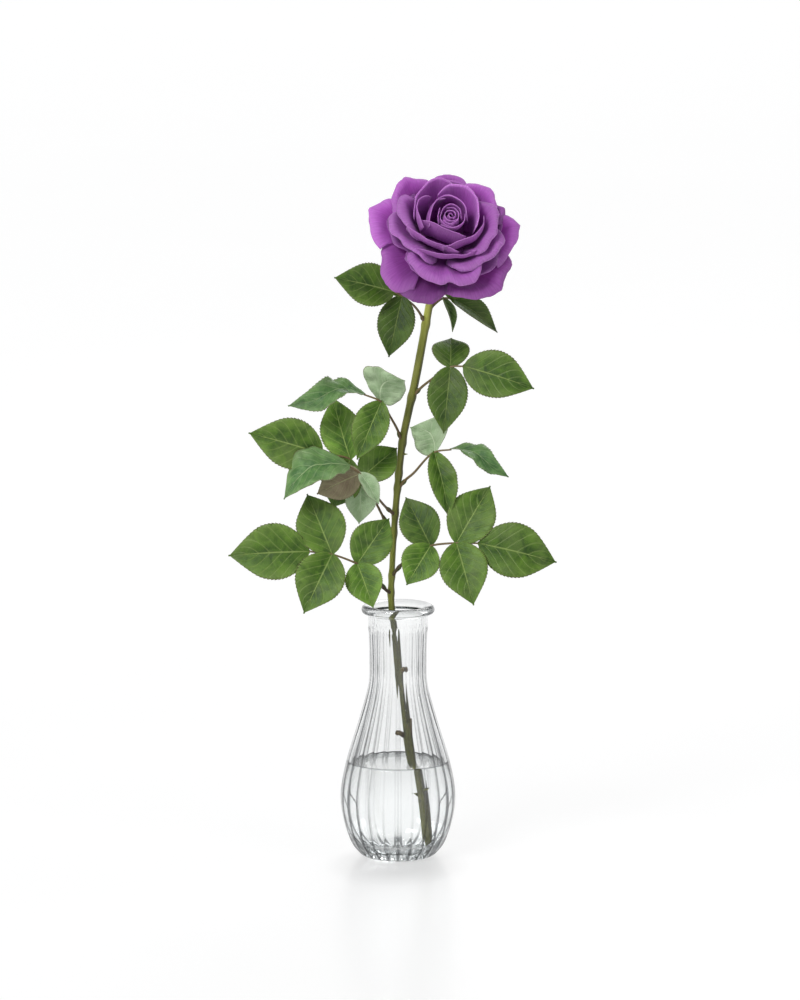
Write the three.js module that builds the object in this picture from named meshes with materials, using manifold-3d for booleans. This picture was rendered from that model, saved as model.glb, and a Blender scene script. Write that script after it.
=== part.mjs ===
// A cut rose with nine compound leaves, standing in water in a fluted glass bud vase.
// Units are millimetres, +Z is up, and the origin is the centre of the vase's foot.
// The bloom and most leaves face the front, which is -Y.
import * as THREE from "three";
import { mergeVertices } from "three/addons/utils/BufferGeometryUtils.js";
import Module from "manifold-3d";

const wasm = await Module();
wasm.setup();

// ---------- driving dimensions ----------

// The vase: radii of the glass at its main heights.
const VASE_HEIGHT = 180;
const FOOT_RADIUS = 22.5;
const HEEL_RADIUS = 27;
const BELLY_RADIUS = 40.6;
const BELLY_HEIGHT = 45;
const NECK_RADIUS = 20.4;
const NECK_HEIGHT = 142;
const COLLAR_RADIUS = 21.2;
const COLLAR_HEIGHT = 167;
const RIM_RADIUS = 25.8;
const BEAD_HEIGHT = 5.2;
const WALL = 3.3;
const FLOOR_HEIGHT = 9;
const FLUTES = 24;
const FLUTE_DEPTH = 1.1;
const WATER_LEVEL = 67;

// Clear space kept between neighbouring pieces.
const GAP = 0.3;

// The stem: its centre line from the cut end up to the bloom, and its radius by height.
const STEM_ROUTE = [
  [18.2, -7.4, 8],
  [14.2, -4.4, 38],
  [9.9, -1, 67],
  [3.5, 5, 110.7],
  [-1.8, 10.5, 153.5],
  [-4.9, 14.7, 182],
  [-4.3, 16, 200],
  [-3.2, 18, 223],
  [-1.1, 20, 252],
  [3.4, 23, 294],
  [7.7, 25, 315],
  [12.3, 27, 336],
  [20.1, 33, 378],
  [23.6, 35.8, 396],
  [26.6, 36.6, 409],
  [29.8, 31.5, 421.5],
];
const STEM_RADII = [
  [0, 2.9],
  [125, 2.8],
  [165, 2.4],
  [205, 2.1],
  [250, 2.35],
  [345, 2.95],
  [400, 2.7],
  [430, 2.6],
];
const CUT_MIDDLE = [18, -7.4, 11.4];
const CUT_SLANT = 0.64;
const STEM_SIDES = 8;
const STEM_STEPS = 26;
// Heights of the swollen joints where leaves leave the stem, and how far they swell.
const STEM_JOINTS = [129, 186, 198, 228, 242, 260, 270, 292, 324, 375];
const JOINT_SWELL = 0.55;

// The bloom: where its base sits, where it looks, and its outermost reach.
const BLOOM_BASE = [33.2, 10.4, 437.6];
const BLOOM_AXIS = [0.1, -0.8, 0.6];
const HIP_LENGTH = 12;
const HIP_RADIUS = 5.6;
const ROUND_SIDES = 10;
const PETAL_THICKNESS = 0.7;

const BLADE_THICKNESS = 0.7;
const ROOT_SUNK = 1.2;
const TEETH_ROWS = 10;
const STALK_STEPS = 10;
const STALK_SIDES = 4;

const PETAL_PURPLE = "#7c3a95";
const STEM_GREEN = "#7f8f3c";
const LEAF_GREEN = "#3f6a33";
const YOUNG_GREEN = "#5d8a4a";

// ---------- helpers ----------

const vector = (values) => new THREE.Vector3(...values);
const curveThrough = (points) => new THREE.CatmullRomCurve3(points.map(vector), false, "centripetal");

// A closed mesh as a solid, with the vertices that its faces share merged.
function solidOf(geometry) {
  const bare = geometry.clone();
  bare.deleteAttribute("normal");
  bare.deleteAttribute("uv");
  const merged = mergeVertices(bare, 1e-4);
  const vertProperties = merged.attributes.position.array;
  const triVerts = new Uint32Array(merged.index.array);
  return new wasm.Manifold(new wasm.Mesh({ numProp: 3, vertProperties, triVerts }));
}

function joined(solids) {
  return solids.reduce((whole, piece) => whole.add(piece));
}

// The named mesh of a solid.
function meshOf(name, solid, finish) {
  const { numProp, vertProperties, triVerts } = solid.getMesh();
  const geometry = new THREE.BufferGeometry();
  const buffer = new THREE.InterleavedBuffer(vertProperties, numProp);
  geometry.setAttribute("position", new THREE.InterleavedBufferAttribute(buffer, 3, 0));
  geometry.setIndex(new THREE.BufferAttribute(triVerts, 1));
  const mesh = new THREE.Mesh(geometry, new THREE.MeshStandardMaterial(finish));
  mesh.name = name;
  return mesh;
}

// A solid turned round the Z axis from a profile of [radius, height] that starts and ends on it.
function turned(profile, segments) {
  const points = profile.map(([radius, height]) => new THREE.Vector2(radius, height));
  return new THREE.LatheGeometry(points, segments).rotateX(Math.PI / 2);
}

// A cylinder bent along a curve, with its radius given along the way from 0 to 1.
function bentTube(curve, sides, steps, radiusAt) {
  const tube = new THREE.CylinderGeometry(1, 1, 1, sides, steps);
  const frames = curve.computeFrenetFrames(steps, false);
  const corners = tube.attributes.position;
  for (let i = 0; i < corners.count; i++) {
    const along = corners.getY(i) + 0.5;
    const step = Math.round(along * steps);
    const radius = radiusAt(along);
    const point = curve.getPointAt(along);
    point.addScaledVector(frames.normals[step], corners.getX(i) * radius);
    point.addScaledVector(frames.binormals[step], -corners.getZ(i) * radius);
    corners.setXYZ(i, point.x, point.y, point.z);
  }
  return solidOf(tube);
}

// The unit normal of a surface given by a formula, where across runs from -1 to 1 and along from 0 to 1.
function normalOf(surface, across, along) {
  const step = 0.01;
  const acrossWay = surface(across + step, along).sub(surface(across - step, along));
  const alongWay = surface(across, along + step).sub(surface(across, along - step));
  return acrossWay.cross(alongWay).normalize();
}

// A thin closed sheet on both sides of a surface, split into the same triangles on each side.
// trim moves a grid corner along the surface, for teeth and points on the edge.
function thinSheet(surface, columns, rows, thickness, trim = (across, along) => [across, along]) {
  const grid = new THREE.PlaneGeometry(2, 1, columns, rows);
  const corners = grid.attributes.position;
  const count = corners.count;
  const positions = [];
  for (const side of [0.5, -0.5]) {
    for (let i = 0; i < count; i++) {
      const [across, along] = trim(corners.getX(i), corners.getY(i) + 0.5);
      const normal = normalOf(surface, across, along);
      const point = surface(across, along).addScaledVector(normal, side * thickness);
      positions.push(point.x, point.y, point.z);
    }
  }
  const front = Array.from(grid.index.array);
  const edges = new Set();
  for (let i = 0; i < front.length; i += 3) {
    const [a, b, c] = front.slice(i, i + 3);
    [[a, b], [b, c], [c, a]].forEach(([from, to]) => edges.add(`${from} ${to}`));
  }
  const faces = [...front, ...front.map((corner) => corner + count).reverse()];
  for (const edge of edges) {
    const [from, to] = edge.split(" ").map(Number);
    if (!edges.has(`${to} ${from}`)) {
      faces.push(to, from, from + count, to, from + count, to + count);
    }
  }
  const sheet = new THREE.BufferGeometry();
  sheet.setAttribute("position", new THREE.Float32BufferAttribute(positions, 3));
  sheet.setIndex(faces);
  return solidOf(sheet);
}

// The frame at a point whose Z axis looks along a direction and whose X axis stays level.
function frameLooking(position, direction) {
  const zAxis = vector(direction).normalize();
  const xAxis = new THREE.Vector3(1, 0, 0).addScaledVector(zAxis, -zAxis.x).normalize();
  const yAxis = new THREE.Vector3().crossVectors(zAxis, xAxis);
  return new THREE.Matrix4().makeBasis(xAxis, yAxis, zAxis).setPosition(vector(position));
}

// A cone that stands on a point and tapers along a direction.
function spike(position, direction, radius, length, sides) {
  const cone = new THREE.ConeGeometry(radius, length, sides).rotateX(Math.PI / 2);
  cone.translate(0, 0, length / 2);
  return solidOf(cone.applyMatrix4(frameLooking(position, direction)));
}

// ---------- the vase and its water ----------

// The inner wall, from the middle of the floor up to a height where the wall is thinnest.
function cavityProfile(clearance) {
  const inside = new THREE.SplineCurve(
    [
      [19, FLOOR_HEIGHT + 0.5],
      [29, 14.5],
      [BELLY_RADIUS - WALL - 1.4, 28],
      [BELLY_RADIUS - WALL, BELLY_HEIGHT + 2],
      [36.6 - WALL, 68],
      [26.8 - WALL, 100.5],
      [NECK_RADIUS - WALL, 128],
      [NECK_RADIUS - WALL + 0.1, NECK_HEIGHT],
      [COLLAR_RADIUS - WALL - 0.1, COLLAR_HEIGHT],
    ].map(([radius, height]) => new THREE.Vector2(radius, height)),
  );
  const wall = inside.getPoints(10).map(({ x, y }) => [x - clearance, y]);
  return [[0, FLOOR_HEIGHT + clearance], [18 - clearance, FLOOR_HEIGHT + clearance], ...wall];
}

function vase() {
  const body = new THREE.SplineCurve(
    [
      [HEEL_RADIUS, 2.2],
      [33, 9.5],
      [39, 28],
      [BELLY_RADIUS, BELLY_HEIGHT],
      [36.6, 68],
      [26.8, 100.5],
      [NECK_RADIUS + 0.4, 124],
      [NECK_RADIUS, NECK_HEIGHT],
      [COLLAR_RADIUS, COLLAR_HEIGHT],
    ].map(([radius, height]) => new THREE.Vector2(radius, height)),
  );
  const beadBottom = VASE_HEIGHT - BEAD_HEIGHT;
  const outer = turned(
    [
      [0, 0],
      [FOOT_RADIUS, 0],
      ...body.getPoints(10).map(({ x, y }) => [x, y]),
      [COLLAR_RADIUS, beadBottom - 0.6],
      [RIM_RADIUS - 1, beadBottom + 0.4],
      [RIM_RADIUS, beadBottom + 2.2],
      [RIM_RADIUS - 0.5, VASE_HEIGHT - 1.2],
      [RIM_RADIUS - 2, VASE_HEIGHT],
      [0, VASE_HEIGHT],
    ],
    2 * FLUTES,
  );
  const corners = outer.attributes.position;
  for (let i = 0; i < corners.count; i++) {
    const [x, y, z] = [corners.getX(i), corners.getY(i), corners.getZ(i)];
    const turn = Math.atan2(y, x);
    const ridge = (1 + Math.cos(FLUTES * turn)) / 2;
    const fluted = THREE.MathUtils.smoothstep(z, 1, 8) * (z < COLLAR_HEIGHT - 1 ? 1 : 0);
    const radius = Math.hypot(x, y);
    const inwards = radius > 0 ? (1 - ridge) * fluted * FLUTE_DEPTH * (radius / BELLY_RADIUS) ** 0.5 : 0;
    corners.setX(i, x - Math.cos(turn) * inwards);
    corners.setY(i, y - Math.sin(turn) * inwards);
  }
  const mouth = [
    [COLLAR_RADIUS - WALL - 0.1, VASE_HEIGHT - 1.6],
    [COLLAR_RADIUS - WALL + 0.9, VASE_HEIGHT],
    [COLLAR_RADIUS - WALL + 0.9, VASE_HEIGHT + 2],
    [0, VASE_HEIGHT + 2],
  ];
  const cavity = turned([...cavityProfile(0), ...mouth], FLUTES);
  return solidOf(outer).subtract(solidOf(cavity));
}

function water(stemHole) {
  const profile = cavityProfile(GAP).filter(([, height]) => height < WATER_LEVEL - 3);
  const surfaceRadius = 36.6 - WALL - GAP;
  const body = turned([...profile, [surfaceRadius, WATER_LEVEL], [0, WATER_LEVEL]], FLUTES);
  return solidOf(body).subtract(stemHole);
}

// ---------- the stem with its hip and sepals ----------

const stemCurve = curveThrough([...STEM_ROUTE, ...hipEnds()]);

// The neck runs straight into the hip under the bloom.
function hipEnds() {
  const back = (distance) => vector(BLOOM_BASE).addScaledVector(vector(BLOOM_AXIS).normalize(), -distance);
  return [back(HIP_LENGTH).toArray(), back(HIP_LENGTH / 2).toArray()];
}

function stemRadius(height) {
  const next = Math.max(1, STEM_RADII.findIndex(([level]) => level > height));
  const [[low, lowRadius], [high, highRadius]] = [STEM_RADII[next - 1], STEM_RADII[next]];
  const plain = THREE.MathUtils.mapLinear(height, low, high, lowRadius, highRadius);
  const swell = STEM_JOINTS.map((joint) => Math.exp(-(((height - joint) / 3) ** 2)));
  return plain + JOINT_SWELL * Math.max(...swell);
}

// The bare stem, made fatter all round by the clearance where it cuts its own place.
function stemRod(clearance) {
  const heightAt = (along) => stemCurve.getPointAt(along).z;
  const radiusAt = (along) => stemRadius(Math.min(heightAt(along), 429)) + clearance;
  return bentTube(stemCurve, STEM_SIDES, STEM_STEPS, radiusAt);
}

// What the slanted cut takes off the foot of the stem: its lowest point is on the left.
function slantedCut() {
  const slab = new THREE.BoxGeometry(30, 30, 20);
  slab.translate(0, 0, -10);
  slab.rotateY(-CUT_SLANT);
  slab.translate(...CUT_MIDDLE);
  return solidOf(slab);
}

// A sepal bends back from the rim of the hip and hangs towards the stem.
function sepal(turn) {
  const midline = new THREE.CubicBezierCurve(
    new THREE.Vector2(3.2, -2),
    new THREE.Vector2(15, 1),
    new THREE.Vector2(15, -8),
    new THREE.Vector2(12.5, -19),
  );
  const surface = (across, along) => {
    const t = THREE.MathUtils.clamp(along, 0, 1);
    const { x: radius, y: height } = midline.getPoint(t);
    const halfWidth = 0.5 + 3 * Math.sin(Math.PI * t ** 0.6) ** 0.8;
    const angle = turn + (across * halfWidth) / Math.max(radius, 5);
    return new THREE.Vector3(radius * Math.cos(angle), radius * Math.sin(angle), height - across ** 2);
  };
  const trimmed = (across, along) => [across, THREE.MathUtils.clamp(along, 0.02, 0.97)];
  return thinSheet(surface, 2, 5, BLADE_THICKNESS, trimmed);
}

function hipAndSepals() {
  const hip = turned(
    [
      [0, -HIP_LENGTH],
      [2.4, -HIP_LENGTH],
      [4.4, -9],
      [HIP_RADIUS, -5.5],
      [HIP_RADIUS - 0.4, -2.5],
      [4.2, 0],
      [0, 0],
    ],
    ROUND_SIDES,
  );
  const sepals = [18, 90, 162, 234, 306].map((degrees) => sepal(THREE.MathUtils.degToRad(degrees)));
  return joined([solidOf(hip), ...sepals]).transform(frameLooking(BLOOM_BASE, BLOOM_AXIS).elements);
}

function stem() {
  const stubs = [
    spike([0.6, 7.6, 130.5], [1, -0.5, 0.55], 1.9, 5.5, 6),
    spike([4.2, 1.4, 86], [-1, -0.6, 0.9], 1.6, 5.5, 6),
    spike([5, 3, 94], [1, -0.3, 0.3], 1.5, 4, 6),
    spike([2.6, 22.2, 284], [1, -0.6, 0.1], 1.2, 5, 5),
  ];
  // Slivers of old leaf stalks that hang down along the stem.
  const slivers = [
    spike([-4.9, 11.2, 157.6], [0.11, -0.17, -1], 1.1, 28, 5),
    spike([4.2, 2.4, 86.5], [0.13, -0.16, -1], 1.1, 18, 5),
  ];
  return joined([stemRod(0), hipAndSepals(), ...stubs, ...slivers]).subtract(slantedCut());
}

// ---------- the bloom ----------

// A petal lies round the bloom's axis. Its midline is a curve of [radius, height] from its root to
// its lip, and one side edge lies a little further out than the other, so that petals overlap.
function petal({ turn, root, belly, shoulder, lip, width, point = 0, overlap = 1.4, cup = 0, columns = 4 }) {
  const bend = [root, belly, shoulder, lip].map(([radius, height]) => new THREE.Vector2(radius, height));
  const midline = new THREE.CubicBezierCurve(...bend);
  const turnRadians = THREE.MathUtils.degToRad(turn);
  const surface = (across, along) => {
    const t = THREE.MathUtils.clamp(along, 0, 1);
    const { x, y } = midline.getPoint(t);
    const spread = 0.22 + 0.78 * Math.sin((Math.PI / 2) * Math.min(1, t * 1.25)) ** 1.2;
    const corner = 1 - 0.3 * THREE.MathUtils.smoothstep(t, 0.7, 1);
    const radius = x + overlap * across * t;
    const angle = turnRadians + (across * 0.5 * width * spread * corner) / Math.max(radius, 3);
    const height = y + cup * across ** 2 * t;
    return new THREE.Vector3(radius * Math.cos(angle), radius * Math.sin(angle), height);
  };
  // The lip is round or drawn to a point: its corners sit further back than its middle.
  const trimmed = (across, along) => [across, along * (0.96 - (0.1 + point) * across ** 2 * along ** 3)];
  return thinSheet(surface, columns, 4, PETAL_THICKNESS, trimmed);
}

const ring = (count, start, make) => Array.from({ length: count }, (_, i) => make(start + (i * 360) / count, i));

function bloom() {
  const heart = ring(5, 40, (turn, i) =>
    petal({
      turn: turn * 1.9,
      root: [2.2, 18],
      belly: [3.5 + i, 26],
      shoulder: [5 + 1.1 * i, 32],
      lip: [2.4 + 1.2 * i, 35 + 0.5 * i],
      width: 9 + 2.6 * i,
      overlap: 1.1,
      columns: 3,
    }),
  );
  const cup = ring(5, 10, (turn) =>
    petal({
      turn,
      root: [7, 15],
      belly: [14, 22],
      shoulder: [13.5, 32],
      lip: [12, 38.5],
      width: 21,
      columns: 3,
    }),
  );
  const inner = ring(5, 46, (turn) =>
    petal({
      turn,
      root: [7, 12],
      belly: [19, 16],
      shoulder: [19.5, 30],
      lip: [20.5, 37],
      width: 32,
      cup: -1.5,
      columns: 3,
    }),
  );
  const middle = ring(6, 20, (turn) =>
    petal({
      turn,
      root: [6, 9],
      belly: [26, 10],
      shoulder: [27, 28],
      lip: [33.5, 31],
      width: 36,
      point: 0.08,
      cup: -3,
    }),
  );
  const shoulder = ring(6, 352, (turn) =>
    petal({
      turn,
      root: [5, 6],
      belly: [32, 5],
      shoulder: [36, 24],
      lip: [45, 21],
      width: 43,
      point: 0.12,
      cup: -4,
    }),
  );
  // The guard petals are set by hand: turn, reach, height of the lip, width.
  const guard = [
    [155, 54, 15, 45],
    [206, 55, 9, 44],
    [250, 56, 6, 46],
    [300, 57, 6, 50],
    [338, 54, 9, 42],
    [12, 54, 13, 44],
    [52, 48, 16, 44],
    [89, 44, 20, 42],
    [122, 47, 18, 42],
  ].map(([turn, reach, height, width]) =>
    petal({
      turn,
      root: [4, 3],
      belly: [0.75 * reach, 0],
      shoulder: [0.86 * reach, height + 11],
      lip: [reach, height],
      width,
      point: 0.2,
      cup: -5,
    }),
  );
  const core = turned(
    [
      [0, GAP],
      [3.8, GAP],
      [8, 6],
      [11, 14],
      [10, 20],
      [6, 25],
      [0, 27],
    ],
    ROUND_SIDES,
  );
  const petals = [...heart, ...cup, ...inner, ...middle, ...shoulder, ...guard];
  return joined([solidOf(core), ...petals]).transform(frameLooking(BLOOM_BASE, BLOOM_AXIS).elements);
}

// ---------- the leaves ----------

// A toothed leaflet from its base to its tip. Its upper side looks along face, its halves are folded
// up along the midrib by an angle, and its middle stands proud of the straight line by its arch.
function leaflet({ base, tip, width, face, fold = 0.22, arch = 0.06, twist = 0 }) {
  const start = vector(base);
  const way = vector(tip).sub(start);
  start.addScaledVector(way, -ROOT_SUNK / way.length());
  way.subVectors(vector(tip), start);
  const length = way.length();
  const alongAxis = way.clone().normalize();
  const acrossAxis = new THREE.Vector3().crossVectors(alongAxis, vector(face)).normalize();
  const upAxis = new THREE.Vector3().crossVectors(acrossAxis, alongAxis);
  const surface = (across, along) => {
    const t = THREE.MathUtils.clamp(along, 0, 1);
    const halfWidth = 0.7 + (width / 2) * Math.sin(Math.PI * t ** 0.86) ** 0.85 * (1 - 0.25 * t ** 3);
    const reach = across * halfWidth;
    const tilt = fold + twist * across * t;
    const rise = Math.abs(reach) * Math.sin(tilt) + arch * length * Math.sin(Math.PI * t);
    return start
      .clone()
      .addScaledVector(alongAxis, t * length)
      .addScaledVector(acrossAxis, reach * Math.cos(tilt))
      .addScaledVector(upAxis, rise);
  };
  // Every second edge corner is a tooth that stands out and leans to the tip.
  const toothed = (across, along) => {
    const tooth = Math.abs(across) > 0.9 && Math.round(along * TEETH_ROWS) % 2 === 1;
    const inside = THREE.MathUtils.clamp(along, 0.004, 0.985);
    return tooth ? [across * 1.05, inside + 0.25 / TEETH_ROWS] : [across * 0.92, inside];
  };
  return thinSheet(surface, 2, TEETH_ROWS, BLADE_THICKNESS, toothed);
}

// The pair of narrow wings that a rose leaf has at the foot of its stalk, as one pointed sheet.
function stalkWings(foot, end) {
  const way = end.clone().sub(foot);
  const level = new THREE.Vector3().crossVectors(way, new THREE.Vector3(0, -1, 0.2)).normalize();
  const surface = (across, along) => {
    const halfWidth = 0.6 + 2.2 * Math.sin(Math.PI * THREE.MathUtils.clamp(along, 0, 1)) ** 0.7;
    return foot.clone().addScaledVector(way, along).addScaledVector(level, across * halfWidth);
  };
  return thinSheet(surface, 1, 3, BLADE_THICKNESS);
}

// A compound leaf: a stalk along its route, wings at its foot, and leaflets on the stalk's points.
function leaf({ route, leaflets }, stemHole) {
  const stalk = curveThrough(route);
  const stalkLength = stalk.getLength();
  const footSwell = 0.9;
  const swellAt = (along) => footSwell * Math.exp(-(((along * stalkLength) / 5) ** 2));
  const radiusAt = (along) => 0.75 + 0.35 * (1 - along) + swellAt(along);
  const rod = bentTube(stalk, STALK_SIDES, STALK_STEPS, radiusAt);
  const rings = stalk.getSpacedPoints(STALK_STEPS);
  const wings = stalkWings(rings[0].lerp(rings[1], 0.5), rings[2]);
  const nearestRing = (point) =>
    rings.reduce((best, ring) => (ring.distanceTo(point) < best.distanceTo(point) ? ring : best));
  const blades = leaflets.map(({ at, ...rest }) =>
    leaflet({ base: nearestRing(vector(route[at])).toArray(), ...rest }),
  );
  return joined([rod, wings, ...blades]).subtract(stemHole);
}

const FACING = [0, -1, 0.35];

// Each route starts inside the stem; at is the route's point where a leaflet grows.
const LEAVES = {
  leaf_lower_left: {
    route: [
      [-4.8, 14.9, 185.5],
      [-10.6, 8, 191],
      [-18.3, -4, 204.2],
      [-28, -15, 211.8],
      [-47, -18, 219.4],
      [-62.7, -20, 221.6],
    ],
    leaflets: [
      { at: 5, tip: [-119.1, -22, 219], width: 37, face: FACING },
      { at: 4, tip: [-64, 1, 259], width: 32, face: FACING },
      { at: 4, tip: [-66.1, -38, 180.5], width: 32, face: FACING },
      { at: 3, tip: [-6.2, 0, 241.8], width: 27, face: FACING },
      { at: 3, tip: [-17.3, -30, 183.2], width: 24, face: FACING },
    ],
  },
  leaf_lower_right: {
    route: [
      [-4.4, 15.9, 197],
      [1.4, 9, 206.5],
      [14.1, -2, 217.4],
      [22.1, -8, 223.4],
      [41.1, -12, 226.3],
      [57, -14, 226.4],
    ],
    leaflets: [
      { at: 5, tip: [111.5, -12, 212.5], width: 36, face: FACING },
      { at: 4, tip: [65, 6, 263.9], width: 31, face: FACING },
      { at: 4, tip: [53.1, -32, 185.3], width: 31, face: FACING },
      { at: 3, tip: [5.4, 7, 255.7], width: 27, face: FACING },
      { at: 3, tip: [6, -20, 197.6], width: 25, face: FACING },
    ],
  },
  leaf_middle_left_back: {
    route: [
      [-2.9, 18.4, 227],
      [-8.6, 18.5, 236],
      [-15.5, 15.5, 250],
      [-26.4, 7, 269.5],
      [-33.1, 2, 283.4],
      [-53.4, 0, 287.7],
    ],
    leaflets: [
      { at: 5, tip: [-105, -4, 303.3], width: 33, face: FACING },
      { at: 4, tip: [-42.5, 20, 321.3], width: 25, face: FACING },
      { at: 4, tip: [-45.8, 12, 247.5], width: 26, face: FACING },
      { at: 3, tip: [-0.7, 32, 287.8], width: 24, face: FACING },
      { at: 3, tip: [-26, 15, 237.3], width: 19, face: [0.2, -1, 0.1] },
    ],
  },
  leaf_middle_left_front: {
    route: [
      [-2, 19.2, 241],
      [-7.5, 13, 246.5],
      [-14.1, 4, 255.7],
      [-26, -8, 274.6],
      [-34.4, -11, 280.8],
    ],
    leaflets: [
      { at: 4, tip: [-79, -22, 262.6], width: 26, face: [0, -0.8, 0.6], fold: 0.35, arch: 0.12 },
      { at: 3, tip: [-56.9, -19, 265.8], width: 21, face: [0, 0.93, 0.35], fold: 0.3 },
      { at: 3, tip: [-13, -12, 262.8], width: 13, face: [0.4, -0.7, 0.5], fold: 0.6 },
    ],
  },
  leaf_middle_right: {
    route: [
      [-0.3, 20.6, 259],
      [4.6, 18.4, 265.6],
      [10.6, 14, 271.4],
      [25.3, 5, 288],
      [37.5, 2, 290.5],
    ],
    leaflets: [
      { at: 4, tip: [77.6, -10, 272.9], width: 25, face: [0.2, -0.5, 0.85], fold: 0.45, arch: 0.14 },
      { at: 3, tip: [6.6, 0, 306.2], width: 25, face: [0.3, 0.7, 0.7], fold: 0.3 },
      { at: 3, tip: [33.9, -8, 243.8], width: 21, face: [0.3, -1, 0], fold: 0.35 },
    ],
  },
  leaf_upper_left: {
    route: [
      [3, 22.8, 291.5],
      [0, 20, 300.9],
      [-5.3, 15, 311.6],
      [-12, 8, 323.6],
      [-24, 5, 329.3],
    ],
    leaflets: [
      { at: 4, tip: [-77.2, -5, 322.6], width: 27, face: [0, -0.5, 0.85], fold: 0.4, arch: 0.14 },
      { at: 3, tip: [6.3, -16, 338.5], width: 29, face: [-0.3, 0.6, 0.8], fold: 0.3 },
      { at: 3, tip: [-28.8, -4, 284.3], width: 26, face: FACING },
    ],
  },
  leaf_upper_right: {
    route: [
      [9.8, 25.8, 324],
      [15.4, 23, 330.5],
      [22.7, 18, 337.3],
      [36.9, 10, 348],
      [46.4, 8, 348.8],
    ],
    leaflets: [
      { at: 4, tip: [95.6, -2, 334.4], width: 31, face: FACING },
      { at: 3, tip: [37.5, 34, 365], width: 27, face: [0, -0.7, 0.7] },
      { at: 3, tip: [32, -5, 303], width: 27, face: FACING },
    ],
  },
  leaf_top_left: {
    route: [
      [19.6, 32.6, 375.5],
      [12.7, 28, 387.3],
      [2.8, 22, 396.6],
      [-2.8, 19, 400],
    ],
    leaflets: [
      { at: 3, tip: [-44.9, 12, 411.2], width: 28, face: FACING },
      { at: 2, tip: [-6.5, 14, 354.4], width: 25, face: FACING },
      { at: 2, tip: [-4.2, 34, 426.8], width: 23, face: FACING },
    ],
  },
  leaf_top_right: {
    route: [
      [21.8, 34.2, 386],
      [27, 36, 390],
      [31.7, 36.6, 392.9],
      [37, 37, 393],
    ],
    leaflets: [
      { at: 3, tip: [70.1, 40, 368], width: 20, face: [0.35, -0.5, 0.8], fold: 0.3 },
      { at: 2, tip: [38.4, 34, 369.3], width: 13, face: [1, -0.4, 0.3], fold: 0.3 },
      { at: 3, tip: [47, 50, 417.5], width: 21, face: FACING },
    ],
  },
};

// ---------- the assembly ----------

const GLASS = { color: "#e8eef0", roughness: 0.05, metalness: 0, transparent: true, opacity: 0.35 };
const WATER = { color: "#dfe9ea", roughness: 0.02, metalness: 0, transparent: true, opacity: 0.3 };
const STALK = { color: STEM_GREEN, roughness: 0.55, metalness: 0 };
const PETALS = { color: PETAL_PURPLE, roughness: 0.7, metalness: 0 };
const PALE_LEAVES = ["leaf_middle_left_front", "leaf_upper_left"];

const rose = new THREE.Group();
const stemHole = stemRod(GAP);
rose.add(meshOf("vase", vase(), GLASS));
rose.add(meshOf("water", water(stemHole), WATER));
rose.add(meshOf("stem", stem(), STALK));
rose.add(meshOf("bloom", bloom(), PETALS));
for (const [name, growth] of Object.entries(LEAVES)) {
  const color = PALE_LEAVES.includes(name) ? YOUNG_GREEN : LEAF_GREEN;
  rose.add(meshOf(name, leaf(growth, stemHole), { color, roughness: 0.5, metalness: 0 }));
}

export default rose;
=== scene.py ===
# %% [markdown]
# # A purple rose in a bud vase
# A cut rose stands in water in a small fluted vase of clear glass. This lesson dresses the plain
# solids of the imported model: each one is replaced by a finer piece that keeps its form and place.
# Lengths in the cells are in millimetres, because that is how a gardener would measure a rose; the
# pieces are scaled to metres once, when they are finished.

# %% Load the frame
import math
import bmesh
import bpy
from mathutils import Matrix, Vector, noise


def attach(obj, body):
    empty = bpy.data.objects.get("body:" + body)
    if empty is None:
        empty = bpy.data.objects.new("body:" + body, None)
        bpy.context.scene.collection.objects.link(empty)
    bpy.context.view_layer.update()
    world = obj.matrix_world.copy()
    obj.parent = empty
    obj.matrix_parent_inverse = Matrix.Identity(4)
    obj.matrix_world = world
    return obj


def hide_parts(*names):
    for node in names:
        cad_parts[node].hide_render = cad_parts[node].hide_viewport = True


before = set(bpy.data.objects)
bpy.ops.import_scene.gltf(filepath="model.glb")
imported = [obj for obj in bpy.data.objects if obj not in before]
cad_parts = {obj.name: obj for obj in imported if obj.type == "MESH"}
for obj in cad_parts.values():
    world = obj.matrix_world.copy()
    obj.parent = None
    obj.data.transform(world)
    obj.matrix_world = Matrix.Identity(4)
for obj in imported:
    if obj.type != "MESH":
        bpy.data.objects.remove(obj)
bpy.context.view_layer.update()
MM = 0.001
FULL_TURN = 2 * math.pi

# %% [markdown]
# ## The camera
# The rose was taken from far away with a long lens, a little above the height of the bloom: the rim
# of the vase is a thin ellipse and nothing looks stretched. A camera six metres away, tilted down
# by 9.5 degrees, gives that. The lens is worked out from the height that the frame has to cover.

# %% Camera
AIM = Vector((1.4, 0, 254.9)) * MM
CAMERA_DISTANCE = 6.0
LOOK_DOWN = math.radians(9.5)
FRAME_HEIGHT = 0.7035
SENSOR_HEIGHT = 24


def placed(name, data):
    """A new object in the scene."""
    thing = bpy.data.objects.new(name, data)
    bpy.context.scene.collection.objects.link(thing)
    return thing


camera_data = bpy.data.cameras.new("rose_camera")
camera_data.sensor_fit = "VERTICAL"
camera_data.sensor_height = SENSOR_HEIGHT
camera_data.lens = SENSOR_HEIGHT * CAMERA_DISTANCE / FRAME_HEIGHT
camera_data.clip_end = 60
camera = placed("rose_camera", camera_data)
camera.location = AIM + CAMERA_DISTANCE * Vector((0, -math.cos(LOOK_DOWN), math.sin(LOOK_DOWN)))
camera.rotation_euler = (math.pi / 2 - LOOK_DOWN, 0, 0)
bpy.context.scene.camera = camera
print("lens:", round(camera_data.lens, 1), "mm")

# %% [markdown]
# ## A small kit for finishes
# A finish in Blender is a tree of nodes. The first helper puts a node in the tree and joins or sets
# its inputs. The others are the steps that most finishes here repeat, such as a sum, a ramp of
# colours, soft noise, or a bump. They could be written out each time, but short recipes read
# better.

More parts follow.
